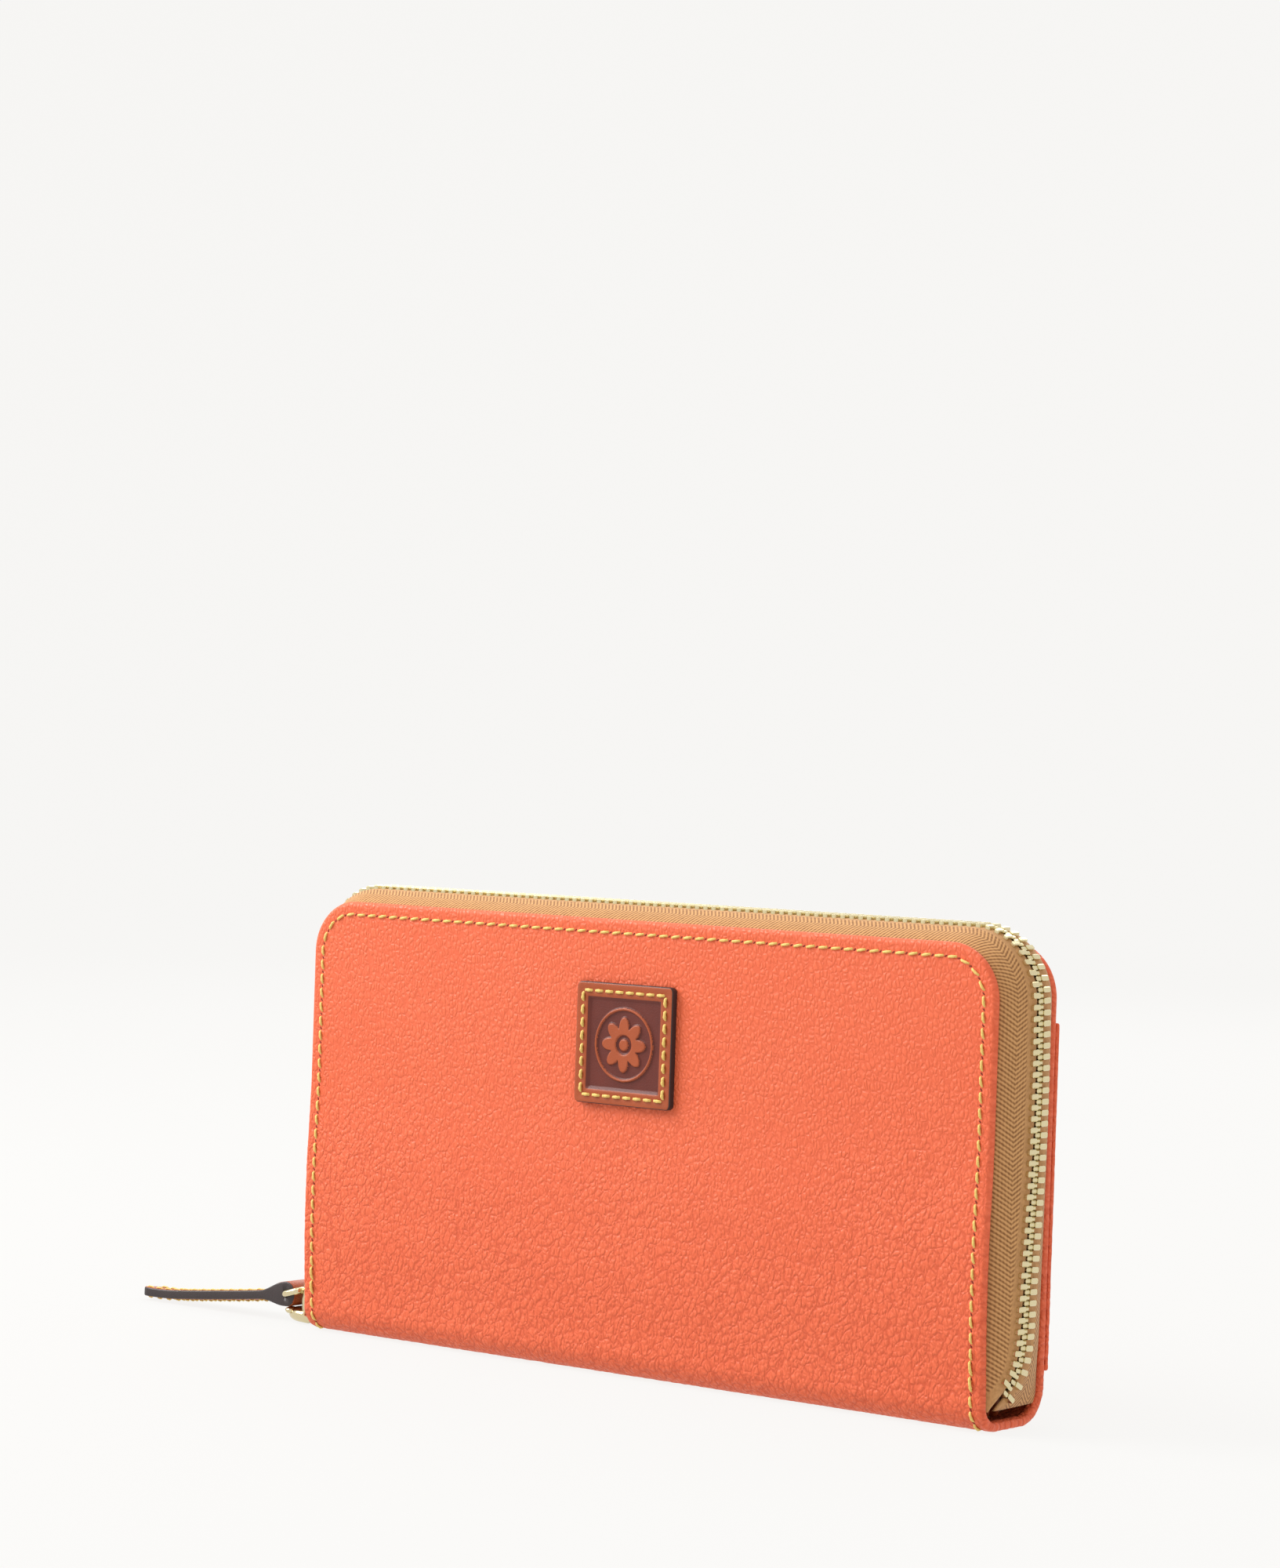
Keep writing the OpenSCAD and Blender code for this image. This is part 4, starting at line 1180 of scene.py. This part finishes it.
# ---------------------------------------------------------------- linings
# Cotton twill bonded to the inside of each cover and carried down into the spine.
lining_cloth, tree, shader = new_material("cotton_twill_lining", Roughness=0.9, Specular_IOR_Level=0.2)
where = add_node(tree, "ShaderNodeSeparateXYZ",
                 {0: add_node(tree, "ShaderNodeAttribute", attribute_name="hide").outputs["Vector"]})
run_on = add_node(tree, "ShaderNodeMath", {0: where.outputs[0], 1: where.outputs[1]}, operation="ADD")
line = add_node(tree, "ShaderNodeMath",
                {0: run_on.outputs[0], 1: math.tau / (0.7 * mm)}, operation="MULTIPLY")
wave = add_node(tree, "ShaderNodeMath", {0: line.outputs[0]}, operation="SINE")
shade = add_node(tree, "ShaderNodeMapRange", {"Value": wave.outputs[0], "From Min": -1.0})
colour = add_node(tree, "ShaderNodeMix",
                  {0: shade.outputs[0], 6: linear("#A9926F"), 7: linear("#C3AE8A")}, data_type="RGBA")
bump = add_node(tree, "ShaderNodeBump",
                {"Height": shade.outputs[0], "Strength": 0.4, "Distance": 0.05 * mm})
tree.links.new(colour.outputs[2], shader.inputs["Base Color"])
tree.links.new(bump.outputs[0], shader.inputs["Normal"])

lining_inset = 0.008
for side, cover in ((-1, "front"), (1, "rear")):
    length = sum(hide_length(side)) - lining_inset
    x, s = panel_grid(half_l - lining_inset, length, corner_r - lining_inset, 2.0 * mm)
    d = edge_distance(x, s, half_l - lining_inset, corner_r - lining_inset)
    z = on_hide(x, s + lining_inset, 0 * x, side)[..., 2]
    outside = spine_t + 0.02 * mm + (board_back - spine_t) * smooth_step(z, crease_z - 0.003, crease_z)
    inside = outside + 0.0004 - roll(d, 0.18 * mm)
    lining = panel_mesh(f"{cover}_lining", x, s, inside, outside,
                        lambda a, b, c: on_hide(a, b + lining_inset, c, side), [lining_cloth], coarse=3)
    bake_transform(lining)
    replaced = [f"{cover}_cover_lining"] + (["spine_lining"] if side < 0 else [])
    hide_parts(*replaced)

# ---------------------------------------------------------------- card slots
# Each cover carries a backing panel and four stepped strips of smooth coral calf, each with a
# turned mouth that is creased with a hot line just below its edge.
smooth_calf = leather_finish("smooth_calf_leather", "#D2694B", "#C2583B", 0.5 * mm, 0.5, 0.02 * mm)
for side, cover in ((-1, "front"), (1, "rear")):
    for part in ("card_backing", "card_slot_1", "card_slot_2", "card_slot_3", "card_slot_4"):
        low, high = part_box(f"{cover}_{part}")
        near = min(abs(low.y), abs(high.y))
        strip = leaf(f"{cover}_{part}_leather", high.x, high.z, low.z,
                     near, high.y - low.y, side, smooth_calf,
                     faces_out=False, step=3.0 * mm, corner=1.5 * mm, seam=1.6 * mm)
        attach(strip, f"{cover}_cover")
        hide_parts(f"{cover}_{part}")

# ---------------------------------------------------------------- coin pocket
# Two panels of russet leather make the zipped divider; its fine zip is sewn inside their top edges.
pull_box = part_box("coin_slider")
for side, part in ((-1, "front"), (1, "rear")):
    low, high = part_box(f"coin_{part}_panel")
    far, near = max(abs(low.y), abs(high.y)), min(abs(low.y), abs(high.y))
    panel = leaf(f"coin_{part}_leather", high.x, high.z, low.z, far, far - near, side, russet_veg,
                 step=3.0 * mm, corner=1.5 * mm, seam=2.5 * mm)
    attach(panel, "spine")
    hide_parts(f"coin_{part}_panel")
    seam_l = 2 * (high.x - 4 * mm)
    count = int(seam_l / stitch_pitch)
    spots = [((-seam_l / 2 + (k + 0.5) * seam_l / count, side * (far - 0.05 * mm), high.z - 2.5 * mm),
              (1, 0, 0), (0, side, 0)) for k in range(count)]
    row = row_of(f"coin_{part}_stitching", stitch, spots, yellow_thread, slant=math.radians(9),
                 uneven=math.radians(4), seed=20 + side)
    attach(row, "spine")
discard(stitch)

low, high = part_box("coin_zip_stops")
coin_z = (low.z + high.z) / 2
for side, part in ((-1, "front"), (1, "rear")):
    low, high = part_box(f"coin_{part}_tape")
    foot = low.z
    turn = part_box("coin_front_panel")[1].z
    out_y = max(abs(low.y), abs(high.y)) - 0.225 * mm
    knots = [(1.52 * mm, foot), (1.52 * mm, turn + 0.2 * mm), (out_y, turn + 1.7 * mm),
             (out_y, coin_z - 0.6 * mm), (out_y - 0.6 * mm, coin_z), (2.0 * mm, coin_z)]
    line = [(Vector((0, side * a, b)), Vector((0, side * c, d)))
            for (a, b), (c, d) in zip(knots, knots[1:])]
    centre, facing = [], []
    for start, end in line:
        along = (end - start).normalized()
        normal = Vector((1, 0, 0)).cross(along) * side
        for t in (0.08, 0.5, 0.92):
            centre.append(start.lerp(end, t))
            facing.append(normal)
    columns = np.linspace(low.x, high.x, 60)
    grid = [[c + Vector((x, 0, 0)) for c in centre] for x in columns]
    cloth = [[(x, k * 0.8 * mm, 1.0) for k in range(len(centre))] for x in columns]
    strip = cloth_strip(f"coin_{part}_cloth", grid, [facing] * len(columns), cloth, 0.45 * mm)
    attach(strip, "spine")
    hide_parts(f"coin_{part}_tape")

coin_pitch = 2.0 * mm
for side, part in ((-1, "front"), (1, "rear")):
    low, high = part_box(f"coin_{part}_teeth")
    work = bmesh.new()
    for wide, tall, near, far in ((0.85, 1.6, 0.5, 2.0), (0.72, 1.1, -0.4, 0.6)):
        y = sorted((side * near * mm, side * far * mm))
        block(work, (-wide / 2 * mm, y[0], -tall / 2 * mm), (wide / 2 * mm, y[1], tall / 2 * mm))
    bmesh.ops.bevel(work, geom=work.edges[:], offset=0.15 * mm, segments=1, affect="EDGES")
    tooth = from_bmesh("coin_tooth", work, pale_gold, smooth=False)
    count = int((high.x - low.x) / coin_pitch) + 1
    spots = [((low.x + 0.425 * mm + k * coin_pitch, 0, coin_z), (1, 0, 0), (0, 0, 1)) for k in range(count)]
    row = row_of(f"coin_{part}_tooth_row", tooth, spots, pale_gold, uneven=math.radians(1), seed=30 + side)
    discard(tooth)
    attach(row, "spine")
    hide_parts(f"coin_{part}_teeth")

work = bmesh.new()
block(work, *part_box("coin_zip_stops"))
bevel_sharp(work, 0.3 * mm)
stops = from_bmesh("coin_stop_clip", work, pale_gold)
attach(stops, "spine")
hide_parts("coin_zip_stops")

work = bmesh.new()
low, high = pull_box
middle_x = (low.x + high.x) / 2
half_w = high.y
shape = [(middle_x + b * mm, a * half_w) for a, b in
         mirrored([(0.72, 4.5), (0.82, 3.4), (0.88, 0.0), (1.0, -2.0), (0.95, -3.6), (0.6, -4.5)])]
for z0, z1 in ((low.z, low.z + 0.7 * mm), (coin_z + 1.0 * mm, coin_z + 1.7 * mm)):
    prism(work, shape, "Z", z0, z1)
prism(work, rounded((low.x + 2.0 * mm, 0), (2.0 * mm, 1.4 * mm), 0.6 * mm, steps=3), "Z",
      low.z + 0.6 * mm, coin_z + 1.1 * mm)
top = coin_z + 1.7 * mm
mid = middle_x + 1.0 * mm
arch = [(mid - 2 * mm, top - 0.1 * mm), (mid - 1.2 * mm, top - 0.1 * mm), (mid - 1.1 * mm, top + 1.5 * mm),
        (mid + 1.1 * mm, top + 1.5 * mm), (mid + 1.2 * mm, top - 0.1 * mm), (mid + 2 * mm, top - 0.1 * mm),
        (mid + 1.9 * mm, top + 1.5 * mm), (mid + 1.2 * mm, top + 2.2 * mm), (mid - 1.2 * mm, top + 2.2 * mm),
        (mid - 1.9 * mm, top + 1.5 * mm)]
prism(work, arch, "Y", -1.0 * mm, 1.0 * mm)
bevel_sharp(work, 0.18 * mm)
coin_slider = from_bmesh("coin_cast_slider", work, cast_gold)
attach(coin_slider, "coin_slider")
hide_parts("coin_slider")

work = bmesh.new()
low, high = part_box("coin_pull")
pivot = Vector(joints["coin_pull_swing"]["pos_m"])
half_w = (high.y - low.y) / 2 - 0.2 * mm
block(work, (pivot.x - 0.4 * mm, -half_w, pivot.z - 0.4 * mm),
      (pivot.x + 0.4 * mm, half_w, pivot.z + 0.4 * mm))
for side in (-1, 1):
    y = sorted((side * (half_w - 0.9 * mm), side * half_w))
    block(work, (pivot.x, y[0], pivot.z - 0.4 * mm), (pivot.x + 5.6 * mm, y[1], pivot.z + 0.4 * mm))
plate_start, plate_end = pivot.x + 4.6 * mm, high.x - 0.8 * mm
plate = rounded(((plate_start + plate_end) / 2, 0), (plate_end - plate_start, 2 * half_w), 1.6 * mm)
prism(work, plate, "Z", pivot.z - 0.4 * mm, pivot.z + 0.4 * mm)
bevel_sharp(work, 0.15 * mm)
coin_pull = from_bmesh("coin_flat_pull", work, cast_gold)
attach(coin_pull, "coin_pull")
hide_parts("coin_pull")

# ---------------------------------------------------------------- gussets
# Folded strips of russet leather that join each cover to the divider at both ends.
for part in ("front_left", "front_right", "rear_left", "rear_right"):
    low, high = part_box(f"gusset_{part}")
    side = -1 if high.y < 0 else 1
    end = -1 if high.x < 0 else 1
    edge_x = end * (max(abs(low.x), abs(high.x)) - 0.5 * mm)
    near, far = min(abs(low.y), abs(high.y)) + 0.05 * mm, max(abs(low.y), abs(high.y)) - 0.05 * mm
    fold = (abs(high.x - low.x) - 0.9 * mm)
    thick = 0.7 * mm
    curve = []
    for t in np.linspace(-1, 1, 13):
        inward = fold * (1 - math.sqrt(t * t + 0.02) + 0.01)
        curve.append((edge_x - end * inward, side * ((near + far) / 2 + t * (far - near) / 2)))
    levels = np.linspace(low.z, high.z, 24)
    points = [(x - end * layer * thick, y, z) for layer in (0, 1) for z in levels for x, y in curve]
    gusset = add_mesh(f"gusset_{part}_leather", points, strip_faces(len(levels), len(curve)), [russet_veg])
    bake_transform(gusset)
    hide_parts(f"gusset_{part}")
